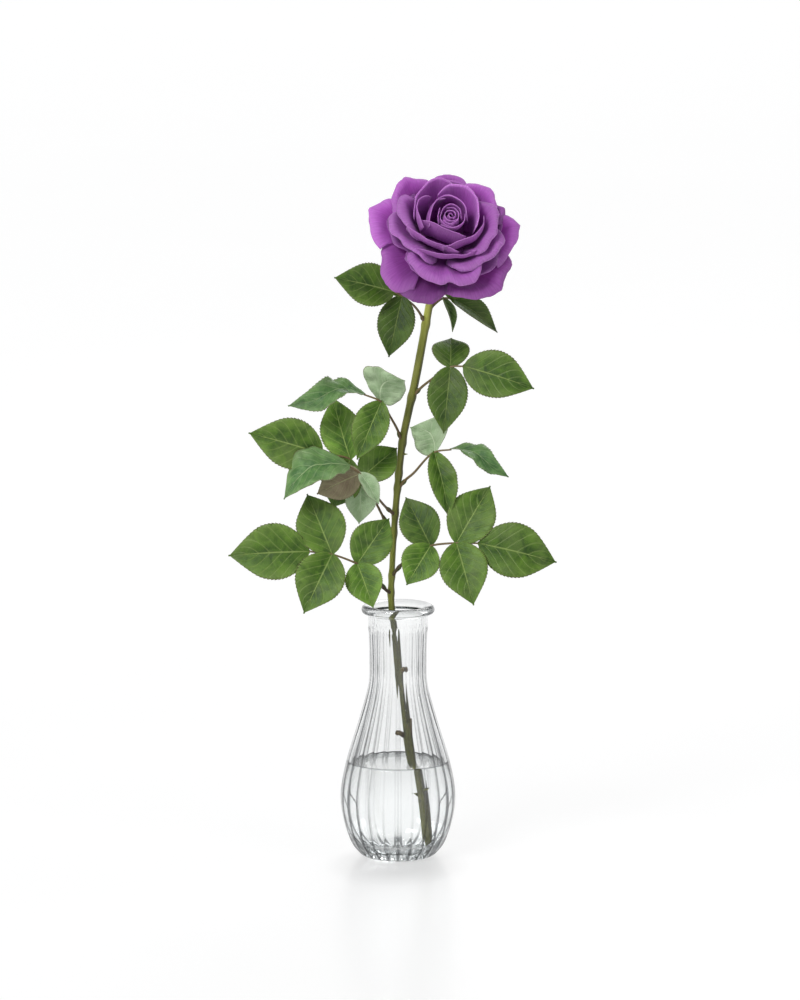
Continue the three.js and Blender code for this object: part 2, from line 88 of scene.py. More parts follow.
# %% Node helpers
def add(tree, kind, inputs=None, **settings):
    """Puts a node in the tree: an input that is a socket is joined, any other is set."""
    node = tree.nodes.new(kind)
    for key, value in settings.items():
        setattr(node, key, value)
    for key, value in (inputs or {}).items():
        if isinstance(value, bpy.types.NodeSocket):
            tree.links.new(value, node.inputs[key])
        else:
            node.inputs[key].default_value = value
    return node


def sums(operation, first, second=0.0, third=0.0):
    """One step of arithmetic, such as MULTIPLY or MULTIPLY_ADD."""
    inputs = {0: first, 1: second, 2: third}
    return add(first.id_data, "ShaderNodeMath", inputs, operation=operation).outputs[0]


def remap(value, low, high, to_low=0.0, to_high=1.0):
    """A number carried from one range to another and held at its ends."""
    inputs = {0: value, 1: low, 2: high, 3: to_low, 4: to_high}
    return add(value.id_data, "ShaderNodeMapRange", inputs).outputs[0]


def ramp(factor, stops):
    """A colour read from (place, colour) stops; a colour may be one grey number."""
    node = add(factor.id_data, "ShaderNodeValToRGB", {"Fac": factor})
    elements = node.color_ramp.elements
    while len(elements) < len(stops):
        elements.new(0.5)
    for element, (place, colour) in zip(elements, stops):
        element.position = place
        element.color = (*colour, 1) if isinstance(colour, tuple) else (colour, colour, colour, 1)
    return node.outputs["Color"]


def blend_colours(factor, first, second):
    """Two colours mixed by a factor."""
    first, second = ((*c, 1) if isinstance(c, tuple) else c for c in (first, second))
    inputs = {0: factor, 6: first, 7: second}
    return add(factor.id_data, "ShaderNodeMix", inputs, data_type="RGBA").outputs[2]


def scaled(colour, factor):
    """A colour made darker or lighter by a factor."""
    inputs = {0: colour, 3: factor}
    return add(colour.id_data, "ShaderNodeVectorMath", inputs, operation="SCALE").outputs[0]

# %% Pattern helpers
def own_place(tree):
    """Where a point lies on the object, in metres."""
    return add(tree, "ShaderNodeTexCoord").outputs["Object"]


def parts_of(place):
    """The numbers that a place is made of."""
    return add(place.id_data, "ShaderNodeSeparateXYZ", {0: place}).outputs


def stretched(place, scale, shift=(0, 0, 0)):
    """A place that is scaled differently in each direction, and shifted."""
    inputs = {"Vector": place, "Location": shift, "Scale": scale}
    return add(place.id_data, "ShaderNodeMapping", inputs).outputs[0]


def soft_noise(place, scale, detail, distortion=0.0):
    """A number near one half that changes softly from place to place."""
    inputs = {"Vector": place, "Scale": scale, "Detail": detail, "Distortion": distortion}
    return add(place.id_data, "ShaderNodeTexNoise", inputs).outputs["Fac"]


def point_number(tree, layer):
    """A number that each point of the mesh keeps in a layer."""
    return add(tree, "ShaderNodeAttribute", attribute_name=layer).outputs["Fac"]


def bumped(height, strength, distance):
    """The direction of a surface that a bump makes uneven; its distance is in metres."""
    inputs = {"Height": height, "Strength": strength, "Distance": distance}
    return add(height.id_data, "ShaderNodeBump", inputs).outputs["Normal"]

# %% A finish
def new_finish(name):
    """An empty material and its tree."""
    material = bpy.data.materials.new(name)
    material.use_nodes = True
    material.node_tree.nodes.clear()
    return material, material.node_tree


def shade(material, inputs, volume=None):
    """Ends a finish with its shader."""
    tree = material.node_tree
    skin = add(tree, "ShaderNodeBsdfPrincipled", inputs)
    output = add(tree, "ShaderNodeOutputMaterial", {"Surface": skin.outputs[0]})
    if volume:
        tree.links.new(volume, output.inputs["Volume"])
    print(material.name, "nodes:", len(tree.nodes))

# %% [markdown]
# ## Floor and light
# The rose stands on a white, slightly glossy table in a white studio, so only a faint mirror image
# shows under the vase. A wide floor with a little light of its own stays white to the horizon, and
# gives less of it in front of the foot: a painted shadow and mirror image of the foot. One large
# soft lamp from the upper left gives the petals their form, a weaker one from the right fills the
# shadows, and a third from behind edges the leaves. The room's walls are white and its ceiling is
# grey, which keeps the tops of the leaves from looking milky.

# %% Floor
def staged(bm, name, finish):
    """A mesh of the stage, in metres, which isn't part of the rose."""
    mesh = bpy.data.meshes.new(name)
    bm.to_mesh(mesh)
    bm.free()
    mesh.materials.append(finish)
    thing = placed(name, mesh)
    return thing


table_white, tree = new_finish("table_white")
place = own_place(tree)
white = ramp(soft_noise(place, 3.0, 3.0), [(0.3, 0.15), (0.7, 0.165)])
# Less light of its own in front of the foot: a painted shadow and mirror image of the foot.
painted_shadow_place = stretched(place, (19, 13, 1), (0, 0.5, 0))
reach = add(tree, "ShaderNodeVectorMath", {0: painted_shadow_place}, operation="LENGTH").outputs["Value"]
shade(table_white, {
    "Base Color": white, "Roughness": 0.3, "Specular IOR Level": 0.28,
    "Emission Color": ramp(reach, [(0.3, 0.76), (1.0, 1.0)]), "Emission Strength": 0.69,
})
bm = bmesh.new()
bmesh.ops.create_grid(bm, x_segments=2, y_segments=2, size=40)
staged(bm, "table", table_white)

# %% Lamps
LAMPS_AIM = Vector((0, 0, 0.3))


def soft_lamp(name, place, size, power, mirrored=True):
    """A square lamp that looks at the rose; shiny things show it only where it is mirrored."""
    lamp_data = bpy.data.lights.new(name, "AREA")
    lamp_data.shape = "SQUARE"
    lamp_data.size = size
    lamp_data.energy = power
    lamp = placed(name, lamp_data)
    lamp.location = place
    lamp.rotation_euler = (LAMPS_AIM - lamp.location).to_track_quat("-Z", "Y").to_euler()
    lamp.visible_camera = False
    lamp.visible_glossy = mirrored
    print(name, power, "W")


soft_lamp("key_lamp", (-1.3, -1.9, 2.2), 1.1, 64)
soft_lamp("fill_lamp", (2.2, -1.8, 2.3), 1.2, 19, mirrored=False)
soft_lamp("back_lamp", (0.6, 2.0, 1.9), 1.0, 16)

# %% Room
room = bpy.data.worlds.new("white_room")
room.use_nodes = True
tree = room.node_tree
tree.nodes.clear()
path = add(tree, "ShaderNodeLightPath")
up = parts_of(add(tree, "ShaderNodeTexCoord").outputs["Generated"])[2]
walls = ramp(up, [(0.2, (1, 1, 1)), (0.42, (0.42, 0.43, 0.44)), (0.9, (0.48, 0.49, 0.50))])
seen = blend_colours(path.outputs["Is Camera Ray"], walls, (1, 1, 1))
strength = sums("MULTIPLY_ADD", path.outputs["Is Diffuse Ray"], -0.35, 1.0)
light = add(tree, "ShaderNodeBackground", {"Color": seen, "Strength": strength})
add(tree, "ShaderNodeOutputWorld", {"Surface": light.outputs[0]})
bpy.context.scene.world = room
bpy.context.scene.view_settings.view_transform = "Standard"
# Light turns back many times inside thick glass, so its paths may be long.
bpy.context.scene.cycles.max_bounces = 24
bpy.context.scene.cycles.glossy_bounces = 16
bpy.context.scene.cycles.transmission_bounces = 24
print("room nodes:", len(tree.nodes))

# %% [markdown]
# ### Dark cards for the glass
# Clear glass in an all-white room is nearly invisible. Glass photographers stand slim dark cards
# round it, just out of the picture: the curved wall gathers them into thin dark lines. They lie on
# the table like the rays of a star, and those at the sides turn up at their far ends. None lies
# straight in front or behind, because the water in the belly would enlarge it. Only light that has
# passed through glass meets the cards, so they throw no shadow.

# %% Dark cards
CARDS = 24
CARD_STEPS = 3
# Each row of a card has its distance and height in metres, and half its width in degrees.
SIDE_CARD = [(0.10, 0.0004, 0.25), (0.42, 0.0004, 0.9), (1.6, 0.0004, 1.3), (1.7, 1.4, 1.3)]
BACK_CARD = [(0.10, 0.0004, 0.15), (0.42, 0.0004, 0.35), (1.6, 0.0004, 1.0), (1.7, 0.0004, 1.0)]

card_grey, tree = new_finish("card_grey")
mottle = add(tree, "ShaderNodeTexNoise", {"Scale": 4.0}).outputs["Fac"]
dim = ramp(mottle, [(0.3, (0.10, 0.10, 0.105)), (0.7, (0.13, 0.13, 0.135))])
dim_light = add(tree, "ShaderNodeEmission", {"Color": dim})
add(tree, "ShaderNodeOutputMaterial", {"Surface": dim_light.outputs[0]})

bm = bmesh.new()
for turn in range(CARDS):
    heading = FULL_TURN * (turn + 0.5) / CARDS
    sideways = abs(math.cos(heading))
    if sideways < 0.2:
        continue
    rows = SIDE_CARD if sideways > 0.45 else BACK_CARD
    card = bmesh.ops.create_grid(bm, x_segments=1, y_segments=CARD_STEPS, size=0.5)["verts"]
    for vert in card:
        out, up, half_width = rows[round((vert.co.y + 0.5) * CARD_STEPS)]
        angle = heading + 2 * vert.co.x * math.radians(half_width)
        vert.co = (out * math.cos(angle), out * math.sin(angle), up)
print("cards:", len(bm.faces) // CARD_STEPS)
cards = staged(bm, "dark_cards", card_grey)
for ray in ("camera", "diffuse", "glossy", "shadow", "volume_scatter"):
    setattr(cards, "visible_" + ray, False)

# %% [markdown]
# ## Routes, tubes and finished pieces
# Stems and leaf stalks follow smooth curves through a few measured points. The curve used here is
# the centripetal one, which passes through every point without loops; its samples are then spaced
# evenly. A tube starts as one circle, and each ring after it is an extrusion, moved and scaled. In
# the end its faces are turned to look outwards. Edges and faces are listed in a fixed order and
# never taken from a set, whose order changes from run to run: the tube would then be inside out on
# some runs, and the light and the dark side of the stem would change places.

# %% Helpers for curves
def curve_points(knots, steps):
    """Points on the centripetal curve through the knots, with some steps between each two."""
    knots = [Vector(knot) for knot in knots]
    ends = [2 * knots[0] - knots[1], *knots, 2 * knots[-1] - knots[-2]]
    points = []
    for a, b, c, d in zip(ends, ends[1:], ends[2:], ends[3:]):
        gaps = [max((q - p).length, 1e-6) ** 0.5 for p, q in ((a, b), (b, c), (c, d))]
        leave = ((b - a) / gaps[0] - (c - a) / (gaps[0] + gaps[1]) + (c - b) / gaps[1]) * gaps[1]
        arrive = ((c - b) / gaps[1] - (d - b) / (gaps[1] + gaps[2]) + (d - c) / gaps[2]) * gaps[1]
        for step in range(steps):
            t = step / steps
            bend = (3 * (c - b) - 2 * leave - arrive) * t**2
            settle = (2 * (b - c) + leave + arrive) * t**3
            points.append(b + leave * t + bend + settle)
    return [*points, knots[-1].copy()]


def evenly(points, count):
    """The same line with count equal steps."""
    lengths = [0.0]
    for a, b in zip(points, points[1:]):
        lengths.append(lengths[-1] + (b - a).length)
    spaced, i = [], 0
    for step in range(count + 1):
        goal = lengths[-1] * step / count
        while i < len(points) - 2 and lengths[i + 1] < goal:
            i += 1
        share = (goal - lengths[i]) / max(lengths[i + 1] - lengths[i], 1e-9)
        spaced.append(points[i].lerp(points[i + 1], min(share, 1)))
    return spaced


def bezier(points, t):
    """A point at a share of the way along a curve that four points pull."""
    a, b, c, d = (Vector(point) for point in points)
    s = 1 - t
    return a * s**3 + b * (3 * s * s * t) + c * (3 * s * t * t) + d * t**3


def smoothstep(value, low, high):
    """Rises softly from 0 at the low value to 1 at the high one."""
    t = min(max((value - low) / (high - low), 0), 1)
    return t * t * (3 - 2 * t)


def between(value, table):
    """The value read from a table of (key, value) pairs, straight between its rows."""
    for (low, at_low), (high, at_high) in zip(table, table[1:]):
        if value <= high:
            return at_low + (at_high - at_low) * max(value - low, 0) / (high - low)
    return table[-1][1]

# %% Helpers for tubes and cones
def frames_along(route):
    """A matrix at each point of a route: Z runs ahead, and X and Y turn as little as they can."""
    frames, side = [], None
    for i, point in enumerate(route):
        ahead = (route[min(i + 1, len(route) - 1)] - route[max(i - 1, 0)]).normalized()
        side = (side - ahead * side.dot(ahead) if side else ahead.orthogonal()).normalized()
        turn = Matrix((side, ahead.cross(side), ahead)).transposed().to_4x4()
        frames.append(Matrix.Translation(point) @ turn)
    return frames


def ordered(items):
    """Each item once, in the order in which it first comes."""
    return list(dict.fromkeys(items))


def grow_tube(bm, route, radius_at, sides):
    """A closed tube along a route, extruded ring by ring; radius_at takes the share of the way."""
    frames = frames_along(route)
    radii = [radius_at(i / (len(route) - 1)) for i in range(len(route))]
    start = frames[0] @ Matrix.Scale(radii[0], 4)
    ring = bmesh.ops.create_circle(bm, radius=1, segments=sides, matrix=start)["verts"]
    loop = ordered(edge for vert in ring for edge in vert.link_edges)
    bmesh.ops.edgeloop_fill(bm, edges=loop)
    for i in range(1, len(frames)):
        made = bmesh.ops.extrude_edge_only(bm, edges=loop)["geom"]
        ring = [item for item in made if isinstance(item, bmesh.types.BMVert)]
        fresh = set(ring)
        step = frames[i] @ Matrix.Scale(radii[i] / radii[i - 1], 4) @ frames[i - 1].inverted()
        bmesh.ops.transform(bm, matrix=step, verts=ring)
        touching = ordered(edge for vert in ring for edge in vert.link_edges)
        loop = [edge for edge in touching if set(edge.verts) <= fresh]
    bmesh.ops.edgeloop_fill(bm, edges=loop)
    bmesh.ops.recalc_face_normals(bm, faces=bm.faces)


def looking(position, direction):
    """The frame at a point whose Z axis looks along a direction and whose X axis stays level."""
    z_axis = Vector(direction).normalized()
    x_axis = (Vector((1, 0, 0)) - z_axis * z_axis.x).normalized()
    turn = Matrix((x_axis, z_axis.cross(x_axis), z_axis)).transposed().to_4x4()
    return Matrix.Translation(position) @ turn


def cone(bm, position, direction, foot, tip, length, sides):
    """A cone, or a tapered peg, that stands on a point."""
    at = looking(position, direction) @ Matrix.Translation((0, 0, length / 2))
    return bmesh.ops.create_cone(
        bm, cap_ends=True, segments=sides, radius1=foot, radius2=tip, depth=length, matrix=at
    )["verts"]

# %% A finished piece
def finished(bm, name, finishes, nodes):
    """Brings a mesh from millimetres to metres and hands it to the frame in place of its nodes."""
    bmesh.ops.scale(bm, vec=(MM, MM, MM), verts=bm.verts)
    mesh = bpy.data.meshes.new(name)
    bm.to_mesh(mesh)
    bm.free()
    for finish in finishes:
        mesh.materials.append(finish)
    mesh.polygons.foreach_set("use_smooth", [True] * len(mesh.polygons))
    piece = placed(name, mesh)
    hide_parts(*nodes)
    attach(piece, "root")
    print(name, "faces:", len(mesh.polygons))
    return piece


def thickened(piece, thickness):
    """Gives a sheet its thickness, with the second finish on its back and its edge."""
    wall = piece.modifiers.new("thickness", "SOLIDIFY")
    wall.thickness = thickness * MM
    wall.offset = 0
    wall.material_offset = 1
    wall.material_offset_rim = 1


def map_grid(bm, columns, rows):
    """A flat grid, one unit wide and long, with its own map; its points are then laid in place."""
    return bmesh.ops.create_grid(
        bm, x_segments=columns, y_segments=rows, size=0.5, calc_uvs=True
    )["verts"]

# %% [markdown]
# ## The glass
# The vase is pressed glass: thick, clear, with 24 upright flutes that end in small arches under a
# plain collar, and a round bead at the mouth. Glass is drawn by its dark edges. Here they are
# painted shade: the glass's tint is darkened where the wall is seen at a grazing angle, more deeply
# low on the vase, and a slight absorption greys the long paths through the foot. A painted dark
# line runs along the ridge between two flutes, stronger at the sides of the vase than in its
# middle.

# %% Glass finish
FLUTES = 24
CLEAR = (0.985, 0.99, 0.99)
PAINTED_EDGE_SHADE = (0.3, 0.31, 0.315)

clear_glass, tree = new_finish("clear_glass")
place = own_place(tree)
x, y, height = parts_of(place)
grazing = add(tree, "ShaderNodeLayerWeight", {"Blend": 0.5}).outputs["Facing"]
# Painted shade: the glass's tint darkens where its wall is seen at a grazing angle.
thin_wall_painted_shade = ramp(grazing, [
    (0.0, CLEAR), (0.6, (0.955, 0.96, 0.96)), (0.88, (0.82, 0.83, 0.835)),
    (0.96, (0.56, 0.57, 0.575)), (1.0, PAINTED_EDGE_SHADE),
])
thick_wall_painted_shade = ramp(grazing, [
    (0.0, CLEAR), (0.2, (0.975, 0.98, 0.98)), (0.5, (0.84, 0.85, 0.855)),
    (0.8, (0.72, 0.73, 0.735)), (1.0, PAINTED_EDGE_SHADE),
])
painted_shade_tint = blend_colours(remap(height, 0.11, 0.075), thin_wall_painted_shade, thick_wall_painted_shade)

# %% Painted ridge lines and ripple in the glass
# Painted shade: a dark line along each ridge between two flutes.
heading = sums("ARCTAN2", y, x)
ridge = sums("COSINE", sums("MULTIPLY", heading, float(FLUTES)))
ridge = remap(sums("MULTIPLY_ADD", grazing, 0.8, ridge), 0.9, 1.1)
at_sides = remap(grazing, 0.05, 0.35, 0.18, 1.0)
below_collar = remap(height, 0.163, 0.160)
painted_ridge_lines = sums("MULTIPLY", sums("MULTIPLY", ridge, at_sides), below_collar)
painted_shade_tint = blend_colours(painted_ridge_lines, painted_shade_tint, (0.10, 0.105, 0.11))
ripple = bumped(soft_noise(place, 55.0, 1.0), 0.05, 0.001)
absorb = add(tree, "ShaderNodeVolumeAbsorption", {"Color": (0.55, 0.60, 0.60, 1), "Density": 11.0})
shade(clear_glass, {
    "Base Color": painted_shade_tint, "Roughness": 0.0, "IOR": 1.5, "Transmission Weight": 1.0, "Normal": ripple,
}, absorb.outputs[0])

# %% [markdown]
# ## The vase
# A vase is a turned shape, so half of its section is drawn once, outside and inside, and spun round
# the middle. The flutes come after that: the points are drawn together where a narrow ridge will
# stand, and each outer point between two ridges moves in a little, up to the arch under the collar.

# %% Vase section
FLOOR_HEIGHT = 9

outer_knots = [
    (27, 2.2), (33, 9.5), (39, 28), (40.6, 45), (36.6, 68), (26.8, 100.5), (20.8, 124),
    (20.4, 142), (21.2, 167),
]
inner_knots = [
    (19, 9.5), (29, 14.5), (35.9, 28), (37.3, 47), (33.3, 68), (23.5, 100.5), (17.1, 128),
    (17.2, 142), (17.8, 167),
]
bead_knots = [
    (21.3, 172.6), (21.6, 173.4), (23.2, 173.7), (25, 174.6), (25.8, 176.8), (25.2, 178.9),
    (23.6, 180), (21, 179.9), (18.9, 178.7), (17.9, 176),
]
foot_knots = [(0, 1.7), (10, 1.7), (17, 1.5), (19.8, 0.5), (21.6, 0), (23.5, 0.2), (25.4, 1)]
collar_corners = [(21.2, 168.2), (21.25, 170.2), (21.3, 171.4)]
cavity_corners = [(18, FLOOR_HEIGHT + 0.1), (12, FLOOR_HEIGHT), (0, FLOOR_HEIGHT)]


def upright(corners):
    """The points of a half section from pairs of radius and height."""
    return [Vector((radius, 0, height)) for radius, height in corners]


def section(knots, steps):
    """A smooth half section through pairs of radius and height."""
    return curve_points(upright(knots), steps)


inner_line = evenly(section(inner_knots, 10), 72)
outer_line = evenly(section(outer_knots, 10), 110)
vase_line = section(foot_knots, 4) + outer_line + upright(collar_corners)
vase_line += section(bead_knots, 4) + upright([(17.8, 171)])
vase_line += inner_line[::-1] + upright(cavity_corners)
print("vase section points:", len(vase_line))


def inner_radius(height):
    """The radius of the inner wall at a height."""
    return between(height, [(point.z, point.x) for point in inner_line])

# %% Spin the vase
STEPS_PER_FLUTE = 12


def spun(points, steps):
    """A closed body of revolution from its section, which starts and ends on the axis."""
    bm = bmesh.new()
    verts = [bm.verts.new(point) for point in points]
    edges = [bm.edges.new(pair) for pair in zip(verts, verts[1:])]
    bmesh.ops.spin(
        bm, geom=verts + edges, cent=(0, 0, 0), axis=(0, 0, 1), angle=FULL_TURN, steps=steps,
        use_merge=True,
    )
    bmesh.ops.remove_doubles(bm, verts=bm.verts, dist=1e-4)
    bmesh.ops.recalc_face_normals(bm, faces=bm.faces)
    return bm


vase_bm = spun(vase_line, FLUTES * STEPS_PER_FLUTE)
print("vase points:", len(vase_bm.verts))

# %% Press the flutes
FLUTE_DEPTH = 0.13
FOOT_FLUTE_DEPTH = 0.9
NECK_PULL = 0.25
RIDGE_PULL = 0.6
ARCH_FOOT = 162.2
ARCH_RISE = 3.0
INNER_SKIN = 1.2

for vert in vase_bm.verts:
    radius, height = math.hypot(vert.co.x, vert.co.y), vert.co.z
    if radius < 5 or 6 < height and radius < inner_radius(height) + INNER_SKIN:
        continue
    turn = math.atan2(vert.co.y, vert.co.x)
    turn -= RIDGE_PULL * math.sin(FLUTES * turn) / FLUTES
    foot = 1 - smoothstep(height, 4, 18)
    crest = (1 + math.cos(FLUTES * turn)) / 2
    ridge = 0.8 * crest**1.5 + 0.2 * crest**20
    swing = (turn * FLUTES / FULL_TURN) % 1 * 2 - 1
    arch = ARCH_FOOT + ARCH_RISE * math.sqrt(max(0, 1 - swing**2))
    below_arch = 1 - smoothstep(height, arch - 0.5, arch + 0.5)
    panel = smoothstep(height, 0.4, 3) * below_arch
    dip = (1 - ridge) * panel * (FLUTE_DEPTH + FOOT_FLUTE_DEPTH * foot)
    radius -= dip + NECK_PULL * below_arch * smoothstep(height, 120, 150)
    vert.co = (radius * math.cos(turn), radius * math.sin(turn), height)
finished(vase_bm, "fluted_vase", [clear_glass], ["vase"])

# %% [markdown]
# ## The water
# Water fills the vase to just above its widest part and creeps up the glass at the edge. Its skin
# is spun like the vase, and reaches a hair's breadth into the glass: light then passes straight
# from one to the other, as it does in a full vase, and no thin layer of air mirrors between them.

# %% Water finish
clear_water, tree = new_finish("clear_water")
place = own_place(tree)
ripple = bumped(soft_noise(place, 30.0, 0.0), 0.02, 0.001)
absorb = add(tree, "ShaderNodeVolumeAbsorption", {"Color": (0.6, 0.66, 0.66, 1), "Density": 1.2})
# Painted shade: the water turns grey where it creeps up the glass, which draws the dark water line.
painted_waterline_shade = remap(parts_of(place)[2], 0.0671, 0.0676)
painted_shade_tint = ramp(painted_waterline_shade, [(0.0, (0.995, 1.0, 1.0)), (1.0, (0.36, 0.37, 0.38))])
shade(clear_water, {
    "Base Color": painted_shade_tint, "Roughness": 0.0, "IOR": 1.33, "Transmission Weight": 1.0, "Normal": ripple,
}, absorb.outputs[0])

# %% Water body
WATER_LEVEL = 67
SUNK = 0.15

bottom = FLOOR_HEIGHT - SUNK
wet_points = [point for point in inner_line if point.z < WATER_LEVEL + 0.6]
wet_line = upright([(point.x + SUNK, point.z) for point in wet_points])
edge = inner_radius(WATER_LEVEL + 1.2) + SUNK
meniscus = upright([
    (edge, WATER_LEVEL + 1.2), (edge - 0.7, WATER_LEVEL + 0.5), (edge - 1.6, WATER_LEVEL + 0.15),
    (edge - 3, WATER_LEVEL), (edge / 2, WATER_LEVEL), (0, WATER_LEVEL),
])
water_line = upright([(0, bottom), (12, bottom), (18, bottom + 0.1)]) + wet_line + meniscus
finished(spun(water_line, 96), "vase_water", [clear_water], ["water"])

# %% [markdown]
# ## The stem
# A rose stem is round and smooth and swollen where a leaf grows out. The side that faces the lamp
# is painted lighter and greener, and the far side darker and browner, as painted light and shade.
# The tube follows the measured route. Each point keeps a number for the side it is on, and the
# finish reads that number, so the painted lit and shaded sides run along the stem. Bands of tone,
# read from the height, are painted light and shade as well: the stem is darker where it stands in
# the vase, lighter where it stands free above it, and lightest close under the bloom, where it is
# also paler and fresh and has a painted highlight on its lit side.

# %% Stem finish
BAND_REACH = 400
BAND_GAIN = 1.3
# Painted shade that deepens low down, for the stalks and the cut ends.
LOW_SHADE_BANDS = [(160, 0.35), (240, 0.77)]


def stem_finish(name, light, shaded_side, roughness, bands=LOW_SHADE_BANDS, highlight_lift=1.7):
    """A skin with a painted lit side and a painted shaded side; bands are pairs of height and
    painted tone.
    """
    material, tree = new_finish(name)
    place = own_place(tree)
    # Painted light and shade: the side that faces the lamp is lighter, the far side darker.
    side = point_number(tree, "lit_side")
    streaks = soft_noise(stretched(place, (900, 900, 60)), 1.0, 3.0)
    patches = soft_noise(place, 45.0, 2.0)
    mixed = sums("MULTIPLY_ADD", streaks, 0.45, side)
    mixed = sums("MULTIPLY_ADD", patches, 0.5, mixed)
    middle = tuple((a + b) / 2 for a, b in zip(light, shaded_side))
    colour = ramp(mixed, [(0.45, shaded_side), (0.85, middle), (1.3 / 1.4, light)])
    # Painted light and shade along the height, read from the bands.
    height = parts_of(place)[2]
    share = remap(height, 0.0, BAND_REACH * MM)
    band = ramp(share, [(at / BAND_REACH, tone) for at, tone in bands])
    colour = scaled(colour, sums("MULTIPLY", band, BAND_GAIN))
    # A painted highlight on the lit side, close under the bloom.
    top_highlight = remap(height, 0.352, 0.378, 0.0, 0.7)
    highlight_colour = tuple(highlight_lift * c + 0.03 for c in light)
    colour = blend_colours(sums("MULTIPLY", top_highlight, side), colour, highlight_colour)
    shade(material, {
        "Base Color": colour, "Roughness": roughness, "Specular IOR Level": 0.4,
        "Normal": bumped(streaks, 0.25, 0.0004),
    })
    return material


# Painted tone along the height: dark in the vase, lighter above it and close under the bloom.
stem_light_bands = [
    (12, 0.60), (40, 0.45), (66, 0.27), (150, 0.24), (168, 0.3), (180, 0.85), (212, 0.85),
    (240, 0.50), (336, 0.46), (360, 0.65), (382.4, 1.0),
]
stem_skin = stem_finish(
    "stem_skin", (0.28, 0.295, 0.05), (0.055, 0.050, 0.011), 0.42, stem_light_bands, 2.4
)
cut_wood = stem_finish("cut_wood", (0.30, 0.22, 0.09), (0.11, 0.06, 0.03), 0.8)

# %% Stem route
STEM_STEPS = 240
STEM_TOP = 429
BLOOM_BASE = Vector((33.2, 10.4, 437.6))
BLOOM_AXIS = Vector((0.1, -0.8, 0.6)).normalized()
LIT_SIDE = Vector((-0.9, -0.15, 0.3))

stem_knots = [
    (18.2, -7.4, 8), (14.2, -4.4, 38), (9.9, -1, 67), (3.5, 5, 110.7), (-1.8, 10.5, 153.5),
    (-4.9, 14.7, 182), (-4.3, 16, 200), (-3.2, 18, 223), (-1.1, 20, 252), (3.4, 23, 294),
    (7.7, 25, 315), (12.3, 27, 336), (20.1, 33, 378), (23.6, 35.8, 396), (26.6, 36.6, 409),
    (29.8, 31.5, 421.5), BLOOM_BASE - 12 * BLOOM_AXIS, BLOOM_BASE - 6 * BLOOM_AXIS,
]
stem_radii = [
    (0, 2.9), (125, 2.8), (165, 2.4), (205, 2.1), (250, 2.35), (345, 2.95), (400, 2.7), (430, 2.6),
]
stem_joints = [129, 186, 198, 228, 242, 260, 270, 292, 324, 375]
stem_route = evenly(curve_points(stem_knots, 12), STEM_STEPS)


def stem_radius(share):
    """The stem's radius at a share of its length, with a swelling at each leaf joint."""
    height = stem_route[round(share * STEM_STEPS)].z
    swell = max(math.exp(-(((height - joint) / 3) ** 2)) for joint in stem_joints)
    return between(min(height, STEM_TOP), stem_radii) + 0.55 * swell


def mark_lit_side(bm):
    """Keeps on each point how far it faces the light, which comes from the left."""
    lit = bm.verts.layers.float.new("lit_side")
    bm.normal_update()
    for vert in bm.verts:
        vert[lit] = 0.5 + 0.55 * LIT_SIDE.dot(vert.normal)

# %% Stem body
CUT_TILT = -0.64
CUT_PLACE = (18, -7.4, 11.4)

stem_bm = bmesh.new()
grow_tube(stem_bm, stem_route, stem_radius, 20)
cut_normal = Matrix.Rotation(CUT_TILT, 3, "Y") @ Vector((0, 0, 1))
everything = stem_bm.verts[:] + stem_bm.edges[:] + stem_bm.faces[:]
cut = bmesh.ops.bisect_plane(
    stem_bm, geom=everything, plane_co=CUT_PLACE, plane_no=cut_normal, clear_inner=True
)["geom_cut"]
rim = [item for item in cut if isinstance(item, bmesh.types.BMEdge)]
for face in bmesh.ops.edgeloop_fill(stem_bm, edges=rim)["faces"]:
    face.material_index = 1
print("stem points:", len(stem_bm.verts))

# %% Cut stubs and slivers
# Each row: where it stands, which way it points, its radius at the foot and the tip, its length.
stubs = [
    ((1.2, 7, 130.5), (1, -0.5, 0.55), 2.4, 1.7, 5.6),
    ((3.6, 1.4, 86), (-1, -0.6, 0.6), 2.0, 1.7, 5.2),
    ((8.2, 1.0, 83), (0.03, -0.05, 1), 1.7, 1.1, 15),
]
slivers = [
    ((2.6, 22.2, 284), (1, -0.6, 0.1), 1.3, 0.1, 5.2),
    ((-4.9, 11.2, 157.6), (0.11, -0.17, -1), 1.1, 0.1, 28),
    ((4.2, 2.4, 86.5), (0.13, -0.16, -1), 1.1, 0.1, 18),
    ((10.6, -4.9, 45), (-1, -0.7, 0.5), 1.2, 0.1, 3.2),
    ((15, -6.2, 48), (1, -0.4, 0.8), 1.2, 0.1, 3.4),
    ((12.6, -5.6, 41.5), (-0.7, -1, -0.3), 1.1, 0.1, 2.6),
]
for stub in stubs:
    for vert in cone(stem_bm, *stub, 12):
        for face in vert.link_faces:
            face.material_index = 1
for sliver in slivers:
    cone(stem_bm, *sliver, 10)
print("stubs:", len(stubs), "slivers:", len(slivers))

# %% [markdown]
# ### Hip and sepals
# Under the bloom the stem widens into the hip, a small green urn, and five narrow sepals bend back
# from it. They belong to the stem, so they are grown in the same mesh: the hip is spun, and each
# sepal is a narrow grid that is laid along a curve and given its thickness there and then.

# %% Hip and sepals
SEPAL_TURNS = range(18, 360, 72)
SEPAL_CURVE = [(3.2, -2), (15, 1), (15, -8), (12.5, -19)]

